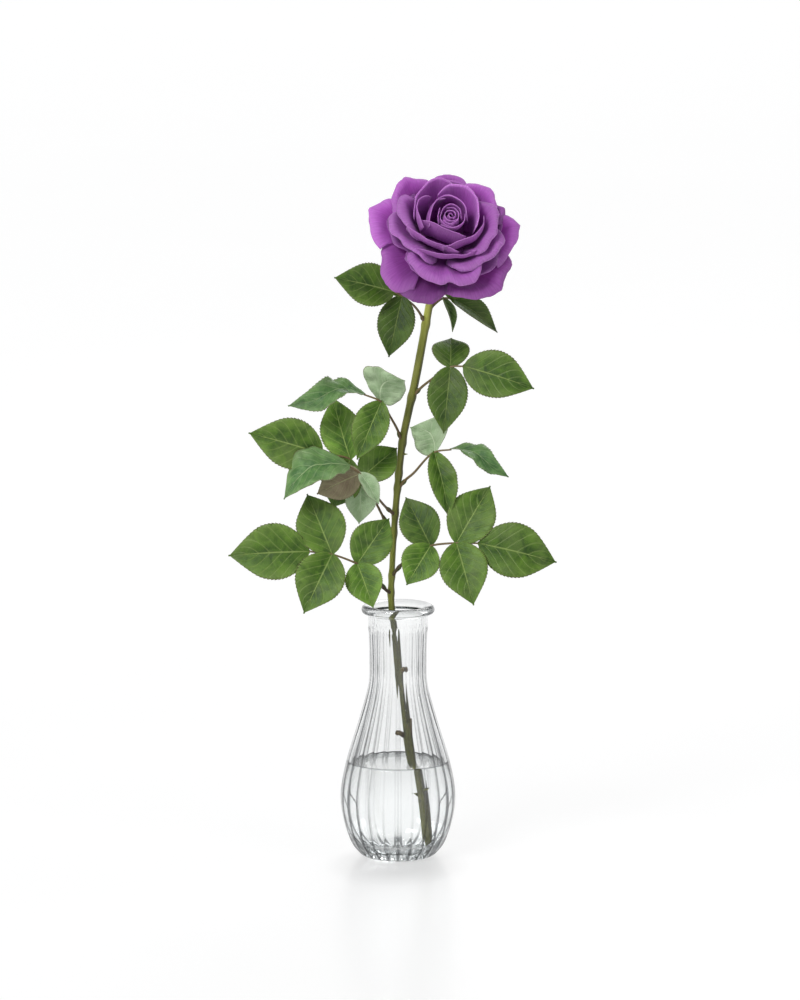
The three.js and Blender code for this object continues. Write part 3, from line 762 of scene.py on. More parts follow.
hip_line = section([(0, -12), (2.4, -12), (4.4, -9), (5.6, -5.5), (5.2, -2.5), (4.2, 0), (0, 0)], 4)
hip_bm = spun(hip_line, 24)
for turn in SEPAL_TURNS:
    strip = bmesh.ops.create_grid(hip_bm, x_segments=6, y_segments=18, size=0.5)["verts"]
    for vert in strip:
        across, along = 2 * vert.co.x, min(max(vert.co.y + 0.5, 0.01), 0.99)
        radius, height = bezier(SEPAL_CURVE, along)
        half_width = 0.4 + 3 * math.sin(math.pi * along**0.6) ** 0.8
        angle = math.radians(turn) + across * half_width / max(radius, 5)
        vert.co = (radius * math.cos(angle), radius * math.sin(angle), height - across**2)
    blade = ordered(face for vert in strip for face in vert.link_faces)
    bmesh.ops.solidify(hip_bm, geom=blade, thickness=0.6)
bmesh.ops.transform(hip_bm, matrix=looking(BLOOM_BASE, BLOOM_AXIS), verts=hip_bm.verts)
hip_mesh = bpy.data.meshes.new("hip_and_sepals")
hip_bm.to_mesh(hip_mesh)
hip_bm.free()
stem_bm.from_mesh(hip_mesh)
bpy.data.meshes.remove(hip_mesh)
mark_lit_side(stem_bm)
finished(stem_bm, "rose_stem", [stem_skin, cut_wood], ["stem"])

# %% [markdown]
# ## Petal finish
# Petals are velvety: fine streaks run from the root to the lip, the root is deeper in colour, and
# the rolled lip is paler, with a thin dark line on the very edge of the oldest ones. The deep root
# is partly the petal's own colour and partly painted shade in the hollow of the bloom, and the pale
# lip partly its own colour and partly a painted highlight. Each petal is also painted lighter or
# darker as a whole, by the light it gets. The pattern follows each petal, so it reads the petal's
# own map, in which V runs from the root to the lip.

# %% Petals' two sides
LIP_GLOW = 1.25


def petal_finish(name, root, middle, lip, edge):
    """One side of the petals, from the colour of the root to that of the lip and its old edge."""
    material, tree = new_finish(name)
    map_place = add(tree, "ShaderNodeUVMap", uv_map="petal_map").outputs[0]
    along = parts_of(map_place)[1]
    streaks = soft_noise(stretched(map_place, (70, 3.5, 1)), 1.0, 3.0)
    clouds = soft_noise(own_place(tree), 70.0, 2.0)
    tone = sums("MULTIPLY_ADD", streaks, 0.16, along)
    tone = sums("MULTIPLY_ADD", clouds, 0.14, tone)
    tone = sums("SUBTRACT", tone, 0.15)
    # The deep root is partly its own colour and partly painted shade; the pale lip partly its own
    # colour and partly a painted highlight.
    pale_lip = tuple(LIP_GLOW * c for c in lip)
    colour = ramp(tone, [(0.15, root), (0.6, middle), (0.93, lip), (1.0, pale_lip)])
    rim = remap(along, 0.975, 0.99)
    rim = sums("MULTIPLY", rim, point_number(tree, "petal_rim"))
    colour = blend_colours(rim, colour, edge)
    # Painted light: each petal's tone makes it lighter or darker as a whole.
    light = sums("MULTIPLY_ADD", point_number(tree, "petal_painted_light"), 0.7, 0.5)
    light = sums("MULTIPLY", light, sums("MULTIPLY_ADD", streaks, 0.5, 0.75))
    shade(material, {
        "Base Color": scaled(colour, light), "Roughness": 0.62, "Specular IOR Level": 0.16,
        "Sheen Weight": 0.08, "Sheen Roughness": 0.5, "Sheen Tint": (1, 0.8, 1, 1),
        "Subsurface Weight": 0.35, "Subsurface Radius": (1, 0.45, 1), "Subsurface Scale": 0.003,
        "Normal": bumped(streaks, 0.3, 0.0005),
    })
    return material


old_edge = (0.11, 0.035, 0.10)
petal_outside = petal_finish(
    "petal_outside", (0.14, 0.016, 0.16), (0.28, 0.076, 0.33), (0.33, 0.125, 0.37), old_edge
)
petal_inside = petal_finish(
    "petal_inside", (0.13, 0.010, 0.15), (0.27, 0.072, 0.32), (0.32, 0.120, 0.37), old_edge
)

# %% [markdown]
# ## One petal
# A petal is a soft sheet that rises from the hip, swells and curls over at its lip. No two are
# alike, and what the eye follows is the line of the lip. So each petal is grown from its lip: a few
# points give the turn round the bloom's axis, the distance from it and the height along it. A flat
# grid then hangs from a smooth line through them, swells at the belly and rolls over at the lip.

# %% A petal's section
ROLL_SHARE = 0.12


def petal_column(form, lip, t, fullness):
    """Radius and height below one point of the lip; the last share of the way rolls over."""
    reach = max(knot[1] for knot in form["lip"])
    belly = Vector((form["belly"][0] * (lip.x / reach) ** 0.6, form["belly"][1]))
    shoulder = lip + Vector(form["lean"])
    if t <= 1 - ROLL_SHARE:
        return bezier((form["root"], belly, shoulder, lip), t / (1 - ROLL_SHARE))
    heading = math.atan2(lip.y - shoulder.y, lip.x - shoulder.x)
    turned = heading - form["roll"] * (t - 1 + ROLL_SHARE) / ROLL_SHARE
    over = math.sin(heading) - math.sin(turned), math.cos(turned) - math.cos(heading)
    return lip + form["roll_radius"] * fullness * Vector(over)

# %% A whole petal
PETAL_COLUMNS = 26
PETAL_ROWS = 20
ROOT_SPREAD, LIP_SPREAD = 0.55, 0.45
DRIFT_SCALE, DRIFT = 0.09, 1.6
RUFFLE_SCALE, RUFFLE = 0.3, 0.5


def around(turn, radius, height):
    """A point at a turn in degrees round the bloom's axis."""
    angle = math.radians(turn)
    return Vector((radius * math.cos(angle), radius * math.sin(angle), height))


def turns_along(line):
    """The turn of each point of a line round the axis, without a jump at the half turn."""
    turns = [math.atan2(line[0].y, line[0].x)]
    for point in line[1:]:
        step = math.atan2(point.y, point.x) - turns[-1]
        turns.append(turns[-1] + (step + math.pi) % FULL_TURN - math.pi)
    return turns


def add_petal(bm, form):
    """Hangs one petal from its lip."""
    painted_light_layer = bm.verts.layers.float["petal_painted_light"]
    rim_layer = bm.verts.layers.float["petal_rim"]
    line = evenly(curve_points([around(*knot) for knot in form["lip"]], 10), PETAL_COLUMNS)
    turns = turns_along(line)
    middle = turns[PETAL_COLUMNS // 2]
    chance = noise.random_unit_vector() * 9
    for vert in map_grid(bm, PETAL_COLUMNS, PETAL_ROWS):
        column, t = round((vert.co.x + 0.5) * PETAL_COLUMNS), vert.co.y + 0.5
        lip = Vector((math.hypot(line[column].x, line[column].y), line[column].z))
        radius, height = petal_column(form, lip, t, 1 - 0.75 * abs(2 * vert.co.x) ** 4)
        spread = ROOT_SPREAD + LIP_SPREAD * math.sin(math.pi / 2 * t)
        angle = middle + (turns[column] - middle) * spread
        spot = Vector((radius * math.cos(angle), radius * math.sin(angle), height))
        drift = noise.noise_vector(spot * DRIFT_SCALE + chance) * form["wave"] * DRIFT * t
        ruffle = noise.noise_vector(spot * RUFFLE_SCALE + chance) * form["wave"] * RUFFLE * t**3
        vert.co = spot + drift + ruffle
        # Painted light: the petal's tone.
        vert[painted_light_layer] = form["tone"]
        vert[rim_layer] = form.get("rim", 0)

# %% [markdown]
# ## The bloom
# The open bloom is built from the inside out. The heart is a tight spiral of small petals. Cupped
# petals cross in front of it in a V, the middle petals stand round them with rolled lips, a wide
# lip folds down at the front, and the guard petals lie back at the rim and end in soft points. Each
# kind has its own root, belly, lean and roll. Each petal then has its tone, which paints it lighter
# or darker as a whole after the light it gets, and the points of its lip, and two points in nearly
# one place make a sharp corner.

# %% Kinds of petal
HEART = dict(root=(2, 18), belly=(9, 25), lean=(0.8, -5), roll=1.2, roll_radius=0.4, wave=0.4)
CUPPED = dict(root=(6, 13), belly=(22, 16), lean=(2.6, -8), roll=1.3, roll_radius=0.8, wave=0.7)
STANDING = dict(root=(6, 12), belly=(25, 13), lean=(-1.5, -8), roll=1.8, roll_radius=1.0, wave=0.8)
ROLLED = dict(root=(5, 10), belly=(29, 9), lean=(-8.5, -2), roll=1.9, roll_radius=2.0, wave=1.4)
FOLDED = dict(root=(5, 7), belly=(33, 5), lean=(-9, 6), roll=0.9, roll_radius=1.6, wave=1.0)
GUARD = dict(root=(4, 3), belly=(40, 0), lean=(-8, 7), roll=0.5, roll_radius=1.2, wave=1.1, rim=0.8)
GUARD_LOW = {**GUARD, "root": (4, 1), "belly": (38, -6)}
UNDER = dict(root=(4, 4), belly=(28, 1), lean=(-4, 1), roll=0.5, roll_radius=1.5, wave=1.5)
LAYERS = {}

# %% [markdown]
# ### The heart
# The innermost petals never open. They are wrapped round one another in a tight spiral, nearly
# upright, and only their lips show, so each of the seven is a short arc that starts inside the
# last.

# %% Heart petals
LAYERS["heart_petals"] = [
    (HEART, 0.95, [
        (0, 1.6, 36.5), (90, 1.3, 37), (180, 1.5, 36.8), (270, 1.7, 36.5), (340, 2, 36),
    ]),
    (HEART, 1.0, [
        (-60, 3.4, 36.5), (0, 3.2, 37), (60, 3.3, 37), (130, 3.8, 36.5), (190, 4.6, 35.5),
    ]),
    (HEART, 1.0, [
        (120, 4.4, 36.3), (180, 4.2, 36.8), (240, 4.4, 36.5), (300, 5, 36), (350, 6, 35),
    ]),
    (HEART, 1.05, [
        (270, 6.2, 35.5), (330, 5.6, 36.3), (390, 5.9, 36.8), (440, 6.3, 36.5), (480, 7, 35.5),
    ]),
    (HEART, 1.05, [(-10, 7.6, 35), (40, 8.4, 36.5), (85, 8.5, 37), (120, 7.9, 36.5), (160, 7, 35)]),
    (HEART, 1.0, [(150, 7.2, 35), (200, 7.4, 35.5), (240, 7.6, 34.5), (285, 8.2, 33.5)]),
    (HEART, 1.0, [
        (220, 9.3, 33), (260, 8.6, 34), (300, 8.8, 34.5), (345, 9.6, 34), (380, 10.4, 33),
    ]),
]

# %% [markdown]
# ### Cupped petals
# Round the heart the petals have begun to open and still hold it like hands. They cross in front of
# it in a V. The tone falls with the height of the lip, because less light gets down to them.

# %% Cupped petals
LAYERS["cupped_petals"] = [
    (CUPPED, 0.85, [
        (0, 10.6, 34.5), (33, 11.6, 36), (67, 13.2, 37), (96, 15.3, 37), (125, 15.6, 35.5),
    ]),
    (CUPPED, 0.8, [
        (105, 14, 35.5), (130, 15, 36.5), (160, 14.2, 36.5), (188, 14.2, 35), (205, 15.5, 32),
    ]),
    (CUPPED, 0.75, [
        (187, 20.5, 33), (200, 15.2, 34), (225, 11.4, 34), (262, 10.4, 33.5), (291, 13.1, 33),
        (308, 17.9, 32),
    ]),
    (CUPPED, 0.75, [
        (255, 22.5, 30), (264, 21.7, 31.5), (299, 19.1, 32.5), (329, 22, 33), (353, 23.2, 33),
        (369, 23.7, 32),
    ]),
    (CUPPED, 0.7, [
        (188, 30, 27), (197, 28.8, 30.5), (213, 24.9, 31), (234, 22.6, 31), (261, 22.3, 31),
        (281, 25.4, 30), (285, 26, 28),
    ]),
    (CUPPED, 0.6, [
        (222, 32.5, 25), (228, 30.9, 27.5), (259, 27.9, 28.5), (276, 27.2, 28.2), (280, 27.6, 28.8),
        (292, 28.5, 28.5), (312, 29.5, 27.5), (320, 31, 25),
    ]),
    (CUPPED, 0.65, [
        (132, 20, 34), (140, 22.2, 36), (152, 24.4, 36.5), (169, 23.8, 36.5), (190, 21.8, 35.5),
        (205, 21, 33),
    ]),
]

# %% [markdown]
# ### Standing and rolled petals
# Two broad petals stand upright behind the heart, and a dark one closes the gap between them with
# shade. As a petal ages its lip rolls outwards: four such petals frame the middle of the bloom, and
# a fifth, at the front, has folded down with a nick in its wide lip.

# %% Standing petals
LAYERS["standing_petals"] = [
    (STANDING, 0.9, [
        (80, 25.5, 29), (91, 28.2, 31.5), (106, 31.5, 32), (122, 30.6, 32), (141, 28, 31.5),
        (163, 25.1, 30), (180, 24, 28),
    ]),
    (STANDING, 1.1, [
        (335, 18.5, 30), (345, 19.1, 31.5), (381, 20.6, 33), (409, 24.6, 33.5), (429, 26.3, 33.5),
        (451, 24, 33), (475, 20.8, 31.5),
    ]),
    (STANDING, 0.5, [(50, 30, 20), (68, 33, 23), (95, 33.5, 24), (118, 33.5, 23), (140, 32, 20)]),
]

# %% Rolled petals
LAYERS["rolled_petals"] = [
    (ROLLED, 0.72, [
        (143, 26, 28), (149, 33.2, 31.5), (155, 36.5, 31), (161, 35.9, 31), (173, 33.1, 30.5),
        (190, 29.8, 29.5), (202, 27, 26), (210, 22, 20),
    ]),
    (ROLLED, 0.75, [
        (164, 33, 21), (172, 38.1, 24.5), (183, 39.7, 25), (194, 39, 25), (204, 35.6, 25),
        (229, 31.5, 25.5), (240, 31, 23.5), (248, 28.5, 19), (252, 24, 13),
    ]),
    (ROLLED, 0.72, [
        (300, 24, 19), (307, 28, 25), (316, 31, 29), (332, 30.4, 31), (353, 31.4, 32),
        (374, 32.9, 32), (388, 30.6, 31.5), (402, 24.9, 29),
    ]),
    (ROLLED, 0.72, [
        (270, 25, 13), (275, 30, 18), (284, 35.5, 23), (307, 35.7, 25), (331, 37.7, 25.5),
        (348, 36.8, 25.5), (360, 30.7, 24),
    ]),
    (FOLDED, 0.8, [
        (218, 35, 19), (224, 40, 20.5), (237, 42.7, 20.5), (256, 45.3, 20), (264, 45.2, 19.5),
        (270, 41.6, 19.5), (270.1, 41.6, 19.5), (279, 46.1, 19.5), (294, 45.3, 20), (303, 42, 20.5),
        (309, 36, 20),
    ]),
]

# %% [markdown]
# ### Guard petals
# The outermost petals opened first. They lie back, are wide and wavy, and end in soft points. Those
# that face the light are painted pale and those below the bloom painted deep, as painted light and
# shade. A ring of five plain petals closes the bloom from below, and two in the heart stand up in
# small tips.

# %% Guard petals
LAYERS["guard_petals"] = [
    (GUARD, 0.85, [
        (62, 33, 16), (70, 37.5, 17), (81, 42.5, 17), (92, 44.3, 17), (92.1, 44.3, 17),
        (102, 41, 17), (118, 38, 16),
    ]),
    (GUARD, 1.0, [
        (108, 38, 17), (113, 41.5, 18), (128, 49.1, 18), (136, 48.4, 18), (150, 44.5, 17),
        (170, 40, 16),
    ]),
    (GUARD, 1.17, [
        (145, 42, 12), (149, 46.3, 13), (164, 57.5, 12), (164.1, 57.5, 12), (176, 55.4, 12),
        (185, 53.5, 12), (199, 49.2, 11),
    ]),
    (GUARD, 0.63, [
        (192, 43, 8), (199, 49, 9), (199.1, 49, 9), (217, 56.9, 9), (226, 58.8, 8), (233, 57.6, 7),
        (243, 50, 6),
    ]),
    (GUARD_LOW, 0.0, [
        (222, 49, 3), (233, 56, 5), (246, 59, 6), (246.1, 59, 6), (260, 55.5, 6), (265, 49.5, 6),
        (271, 43, 5),
    ]),
    (GUARD_LOW, 0.25, [
        (264, 42, 4), (271, 46.5, 6), (282, 50.2, 7), (302, 55, 7), (313, 56.6, 7),
        (313.1, 56.6, 7), (324, 50.5, 8), (335, 50.6, 9), (335.1, 50.6, 9), (342, 45, 9),
    ]),
    (GUARD, 0.85, [
        (325, 43, 10), (335, 45.5, 11), (356, 48.5, 12), (370, 52.6, 12), (370.1, 52.6, 12),
        (379, 45.8, 13), (388, 39.1, 14),
    ]),
    (GUARD_LOW, 0.46, [
        (372, 38, 13), (380, 43.5, 14), (386, 45, 14), (386.1, 45, 14), (391, 40.5, 15),
        (398, 38, 15),
    ]),
    (GUARD, 1.15, [
        (384, 35, 17), (389, 38.6, 18), (404, 44, 18), (415, 43.6, 18), (430, 38.1, 18),
        (436, 35, 17),
    ]),
]

# %% Petals underneath
LAYERS["under_petals"] = [
    (UNDER, 0.4, [
        (turn - 42, 32, 12), (turn - 24, 39, 13), (turn, 41, 13), (turn + 24, 39, 13),
        (turn + 42, 32, 12),
    ]) for turn in range(30, 360, 72)
]

# %% Tips in the heart
LAYERS["heart_tips"] = [
    (HEART, 1.0, [
        (132, 10.4, 31.5), (147, 9.4, 36.8), (156, 8.9, 35.2), (172, 8.9, 34.6), (190, 8.7, 35.8),
        (198, 8.6, 34.4), (214, 8.9, 32.5),
    ]),
    (HEART, 1.0, [
        (205, 6.6, 33.5), (226, 6.4, 36.4), (238, 6.2, 35.2), (262, 6.3, 35), (280, 6.4, 36.6),
        (292, 6.6, 34.5),
    ]),
]

# %% Grow the petals
PETAL_THICKNESS = 0.45

noise.seed_set(7)
for layer, petals in LAYERS.items():
    petal_bm = bmesh.new()
    petal_bm.loops.layers.uv.new("petal_map")
    petal_bm.verts.layers.float.new("petal_painted_light")
    petal_bm.verts.layers.float.new("petal_rim")
    for kind, tone, lip in petals:
        add_petal(petal_bm, {**kind, "tone": tone, "lip": lip})
    bmesh.ops.transform(petal_bm, matrix=looking(BLOOM_BASE, BLOOM_AXIS), verts=petal_bm.verts)
    piece = finished(petal_bm, layer, [petal_outside, petal_inside], ["bloom"])
    thickened(piece, PETAL_THICKNESS)
print("petals:", sum(len(petals) for petals in LAYERS.values()))

# %% Core of the bloom
core_line = section([(0, 0.3), (3.8, 0.3), (8, 6), (11, 14), (10, 20), (6, 25), (0, 27)], 5)
core_bm = spun(core_line, 36)
core_bm.loops.layers.uv.new("petal_map")
bmesh.ops.transform(core_bm, matrix=looking(BLOOM_BASE, BLOOM_AXIS), verts=core_bm.verts)
finished(core_bm, "bloom_core", [petal_inside], ["bloom"])

# %% [markdown]
# ## Leaf finish
# A rose leaflet is glossy dark green above and paler below. A pale midrib runs up the middle and
# side veins leave it at an angle, with the blade puffed up between them. The green is painted
# lighter towards the edges and darker by the midrib, as painted light and shade, with a painted
# sheen near the edges. The veins are drawn on the leaflet's own map: U runs across it and V from
# its base to its tip.

# %% Veins
SIDE_VEINS = 7
VEIN_LEAN = 0.34


def side_veins(place, out, along):
    """Low on the side veins, which lean to the tip and wander a little, and 1 between them."""
    bent = sums("MULTIPLY_ADD", out, -VEIN_LEAN, along)
    bent = sums("MULTIPLY_ADD", soft_noise(place, 90.0, 2.0), 0.03, bent)
    phase = sums("FRACT", sums("MULTIPLY", bent, float(SIDE_VEINS)))
    off_vein = sums("ABSOLUTE", sums("SUBTRACT", phase, 0.5))
    return sums("SMOOTH_MIN", sums("MULTIPLY_ADD", off_vein, 4.5, 0.5), 1.0, 0.3)


def middle_rib(out, along):
    """0 on the midrib, which is thinner towards the tip, and 1 beside it."""
    slim = sums("MULTIPLY_ADD", along, 18.0, 16.0)
    return sums("MINIMUM", sums("MULTIPLY", out, slim), 1.0)


def fine_net(place):
    """0 on the net of finest veins and 1 in its cells."""
    cells = {"Vector": place, "Scale": 1100.0}
    cells = add(place.id_data, "ShaderNodeTexVoronoi", cells, feature="DISTANCE_TO_EDGE")
    return sums("MINIMUM", sums("MULTIPLY", cells.outputs["Distance"], 6.0), 1.0)

# %% Leaf finishes
def leaf_finish(name, low, high, vein, roughness, brown):
    """One skin of a leaflet, from its two greens, its veins and the brown of its teeth."""
    material, tree = new_finish(name)
    place = own_place(tree)
    across, along, _ = parts_of(add(tree, "ShaderNodeUVMap", uv_map="leaf_map").outputs[0])
    out = sums("ABSOLUTE", sums("MULTIPLY_ADD", across, 2.0, -1.0))
    side_vein = side_veins(place, out, along)
    midrib = middle_rib(out, along)
    net = fine_net(place)
    patches = soft_noise(place, 120.0, 5.0, 0.8)
    tone = sums("MULTIPLY_ADD", net, 0.10, sums("MULTIPLY", patches, 0.7))
    # Painted light and shade: lighter towards the edges, darker by the midrib.
    tone = sums("MULTIPLY_ADD", out, 0.16, tone)
    green = ramp(tone, [(0.32, low), (0.68, high)])
    # Painted sheen: a pale haze near the edges of the blade.
    painted_edge_sheen = sums("MULTIPLY", sums("POWER", out, 3.0), patches)
    green = blend_colours(sums("MULTIPLY", painted_edge_sheen, 0.55), green, vein)
    mist = remap(soft_noise(place, 42.0, 2.0), 0.48, 0.72, 0.0, 0.4)
    green = blend_colours(mist, green, tuple(0.6 * c + 0.02 for c in vein))
    drawn = sums("MULTIPLY", side_vein, sums("MULTIPLY_ADD", midrib, 0.8, 0.2))
    colour = blend_colours(sums("MULTIPLY_ADD", drawn, 0.8, 0.2), vein, green)
    bright = tuple(1.25 * c for c in vein)
    colour = blend_colours(sums("MULTIPLY_ADD", midrib, -0.55, 0.55), colour, bright)
    # Painted light: each leaflet's tone, kept on its points.
    colour = scaled(colour, point_number(tree, "leaf_painted_light"))
    edge = sums("MULTIPLY", sums("GREATER_THAN", out, 0.975), 0.6)
    blade = sums("MULTIPLY", side_vein, midrib)
    relief = bumped(sums("MULTIPLY_ADD", net, 0.12, blade), 0.7, 0.0006)
    shade(material, {
        "Base Color": blend_colours(edge, colour, brown), "Roughness": roughness,
        "Specular IOR Level": 0.26, "Normal": relief,
    })
    return material


leaf_top = leaf_finish(
    "leaf_top", (0.020, 0.056, 0.004), (0.100, 0.200, 0.018), (0.22, 0.30, 0.085), 0.45,
    (0.08, 0.05, 0.02),
)
leaf_under = leaf_finish(
    "leaf_under", (0.20, 0.31, 0.15), (0.42, 0.55, 0.34), (0.48, 0.58, 0.38), 0.55,
    (0.14, 0.09, 0.05),
)
young_top = leaf_finish(
    "young_top", (0.045, 0.12, 0.035), (0.16, 0.31, 0.09), (0.28, 0.38, 0.18), 0.42,
    (0.14, 0.07, 0.05),
)
aged_under = leaf_finish(
    "aged_under", (0.17, 0.13, 0.08), (0.30, 0.25, 0.16), (0.34, 0.34, 0.18), 0.6,
    (0.09, 0.05, 0.03),
)
# The stalks also take the painted lit and shaded sides and the painted shade low down.
stalk_skin = stem_finish("stalk_skin", (0.15, 0.105, 0.045), (0.06, 0.028, 0.018), 0.45)

# %% [markdown]
# ## One leaflet
# A leaflet is oval with fine teeth that lean to its tip. It is a grid again: across it the two
# halves fold up along the midrib, along it the blade arches, and every third row of the edge stands
# out as a tooth. Between the side veins the blade is lifted a little, which catches the light. A
# leaflet that has turned over looks another way at its tip, and a crumpled one has deeper creases.

# %% Leaflet outline
TEETH = 22
LEAF_COLUMNS, LEAF_ROWS = 12, 3 * TEETH
GROWN_IN = 1.2


def rounded_min(first, second, softness):
    """The smaller of two numbers, with the corner between them rounded off."""
    near = max(softness - abs(first - second), 0) / softness
    return min(first, second) - near * near * softness / 4


def leaf_outline(t):
    """The width of a leaflet from its base to its tip, as a share of its greatest width."""
    oval = math.sin(math.pi * min(t, 0.9999) ** 0.84) ** 0.82
    pointed = 0.694 * (4.1 * (1 - t)) ** 1.08
    return max(rounded_min(oval, pointed, 0.3), 0) * smoothstep(t, -0.01, 0.05)

# %% A whole leaflet
def add_leaflet(bm, base, tip, width, face=(0, -1, 0.35), end_face=None, fold=0.22, arch=0.06,
                sway=0.0, crumple=0.0, bite=1.0, skin=0, tone=1.0, seed=0):
    """Lays one blade from its base to its tip; face is the way that its upper side looks."""
    painted_light_layer = bm.verts.layers.float["leaf_painted_light"]
    start = Vector(base)
    start -= (Vector(tip) - start).normalized() * GROWN_IN
    way = Vector(tip) - start
    length, along_axis = way.length, way.normalized()
    faces = Vector(face), Vector(end_face or face)
    chance = Vector((seed * 7.3, 0, 0))
    sheet = map_grid(bm, LEAF_COLUMNS, LEAF_ROWS)
    for blade_face in ordered(near for vert in sheet for near in vert.link_faces):
        blade_face.material_index = skin
    for vert in sheet:
        across, along = 2 * vert.co.x, vert.co.y + 0.5
        tooth = (round(along * LEAF_ROWS) % 3) / 2
        edge = smoothstep(abs(across), 0.8, 1) * bite
        t = min(max(along + edge * (tooth - 0.3) * 0.5 / TEETH, 0), 1)
        looks = faces[0].lerp(faces[1], smoothstep(t, 0.1, 0.8))
        across_axis = along_axis.cross(looks).normalized()
        up_axis = across_axis.cross(along_axis)
        outline = leaf_outline(t)
        half_width = 0.5 + 1.1 * width / 2 * outline + edge * (tooth - 0.7) * 0.8 * outline
        reach = across * half_width
        vein = (t - VEIN_LEAN * abs(across)) * SIDE_VEINS
        swell = math.sin(math.pi * min(abs(across) * 1.1, 1))
        puff = 0.4 * math.sin(math.pi * (vein % 1)) * swell * outline
        rise = abs(reach) * math.sin(fold) + arch * length * math.sin(math.pi * t) + puff
        aside = sway * length * math.sin(math.pi * t)
        spot = start + along_axis * t * length + across_axis * (reach * math.cos(fold) + aside)
        spot += up_axis * rise
        drift = noise.noise(spot * 0.06 + chance) * 1.6 * abs(across) * outline
        creases = noise.noise(spot * 0.14 + chance) * crumple
        drift += creases * (0.35 + 0.65 * abs(across)) * outline
        vert.co = spot + up_axis * drift
        # Painted light: the tone makes the whole leaflet lighter or darker.
        vert[painted_light_layer] = tone

# %% [markdown]
# ## The compound leaves
# A rose leaf is compound: toothed leaflets stand in pairs on a thin stalk, with one at its end, and
# two narrow wings clasp the stem at its foot. The nine leaves differ in route and in size, so their
# points stand in a table and one rule grows them. Each leaf has the knots of its stalk, and then
# its leaflets: the knot that each one grows from, its tip, its width and what is special to it. A
# tone among these paints the whole leaflet lighter or darker, after the light or shade it gets.

# %% Table of leaves
YOUNG, PALE, AGED = 2, 3, 4
LEAVES = {}


def leaflet(knot, tip, width, **form):
    """One row of a leaf's table."""
    return knot, dict(tip=tip, width=width, **form)

# %% [markdown]
# ### The lower leaves
# The two lowest leaves are the largest. Each has five leaflets that lie flat and open, and they
# spread to the left and the right just above the mouth of the vase.

# %% The lower leaves
LEAVES["leaf_lower_left"] = ([
    (-4.8, 14.9, 185.5), (-10.6, 8, 191), (-18.3, -4, 204.2), (-28, -15, 211.8), (-47, -18, 219.4),
    (-62.7, -20, 221.6),
], [
    leaflet(5, (-119.1, -22, 219), 37, tone=0.95),
    leaflet(4, (-64, 1, 259), 32),
    leaflet(4, (-66.1, -38, 180.5), 32),
    leaflet(3, (-6.2, 0, 241.8), 27),
    leaflet(3, (-17.3, -30, 183.2), 24, tone=1.3),
])
LEAVES["leaf_lower_right"] = ([
    (-4.4, 15.9, 197), (1.4, 9, 206.5), (14.1, -2, 217.4), (22.1, -8, 223.4), (41.1, -12, 226.3),
    (57, -14, 226.4),
], [
    leaflet(5, (111.5, -12, 212.5), 36, tone=0.92),
    leaflet(4, (65, 6, 263.9), 31),
    leaflet(4, (53.1, -32, 185.3), 31),
    leaflet(3, (5.4, 7, 255.7), 26, tone=0.75),
    leaflet(3, (6, -20, 197.6), 25, tone=1.25),
])

# %% [markdown]
# ### The middle leaves
# Higher up the leaves crowd. At the left a full leaf stands behind a young one, whose blades are
# pale, crumpled and partly turned over. At the right one blade has curled into a narrow gutter.

# %% The middle leaves
LEAVES["leaf_middle_left_back"] = ([
    (-2.9, 18.4, 227), (-8.6, 18.5, 236), (-15.5, 15.5, 250), (-26.4, 7, 269.5), (-33.1, 2, 283.4),
    (-53.4, 0, 287.7),
], [
    leaflet(5, (-105, -4, 303.3), 33),
    leaflet(4, (-46, 17, 325.5), 27, face=(-0.3, -0.9, 0.5), tone=1.45),
    leaflet(4, (-45.8, 12, 247.5), 26),
    leaflet(3, (-0.7, 26, 287.8), 24, tone=1.2),
    # The pale skin on top is painted light: this leaflet hangs in shade.
    leaflet(3, (-27.5, 4, 237.3), 21, face=(0.2, -1, 0.3), skin=PALE),
])
LEAVES["leaf_middle_left_front"] = ([
    (-2, 19.2, 241), (-7.5, 13, 246.5), (-14.1, 4, 255.7), (-26, -8, 274.6), (-34.4, -11, 280.8),
], [
    leaflet(
        4, (-80, -22, 259), 33, face=(0, -0.55, 0.83), fold=0.15, arch=0.2, sway=0.1, crumple=4,
        bite=0.1, skin=YOUNG,
    ),
    leaflet(3, (-56.9, -17, 262), 23, face=(0, 1, 0.1), fold=0.1, arch=0.04, skin=AGED),
    # The pale skin on top partly shows the blade turned over and partly is painted light: it hangs
    # in shade.
    leaflet(3, (-13.5, -12, 254), 13, face=(0.3, -0.8, 0.4), fold=0.5, crumple=2, skin=PALE),
])
LEAVES["leaf_middle_right"] = ([
    (-0.3, 20.6, 259), (4.6, 18.4, 265.6), (10.6, 14, 271.4), (25.3, 5, 288), (37.5, 2, 290.5),
], [
    leaflet(
        4, (77.6, -10, 272.9), 16, face=(0.15, -0.15, 1), end_face=(0.4, -1, 0.3), fold=0.3,
        arch=0.15, crumple=4, skin=YOUNG, tone=0.85,
    ),
    leaflet(
        3, (8.4, 10, 305), 31, face=(0.2, 0.9, 0.35), fold=0.15, sway=-0.28, bite=0.4, crumple=4,
    ),
    leaflet(3, (36, -8, 243.8), 20, face=(0.3, -1, 0), fold=0.45, crumple=2),
])

# %% [markdown]
# ### The upper leaves
# The upper leaves have three leaflets each, and one of them is young and curled too. The last two,
# close under the bloom, are small and stay in its shade, so their tones are deeper.

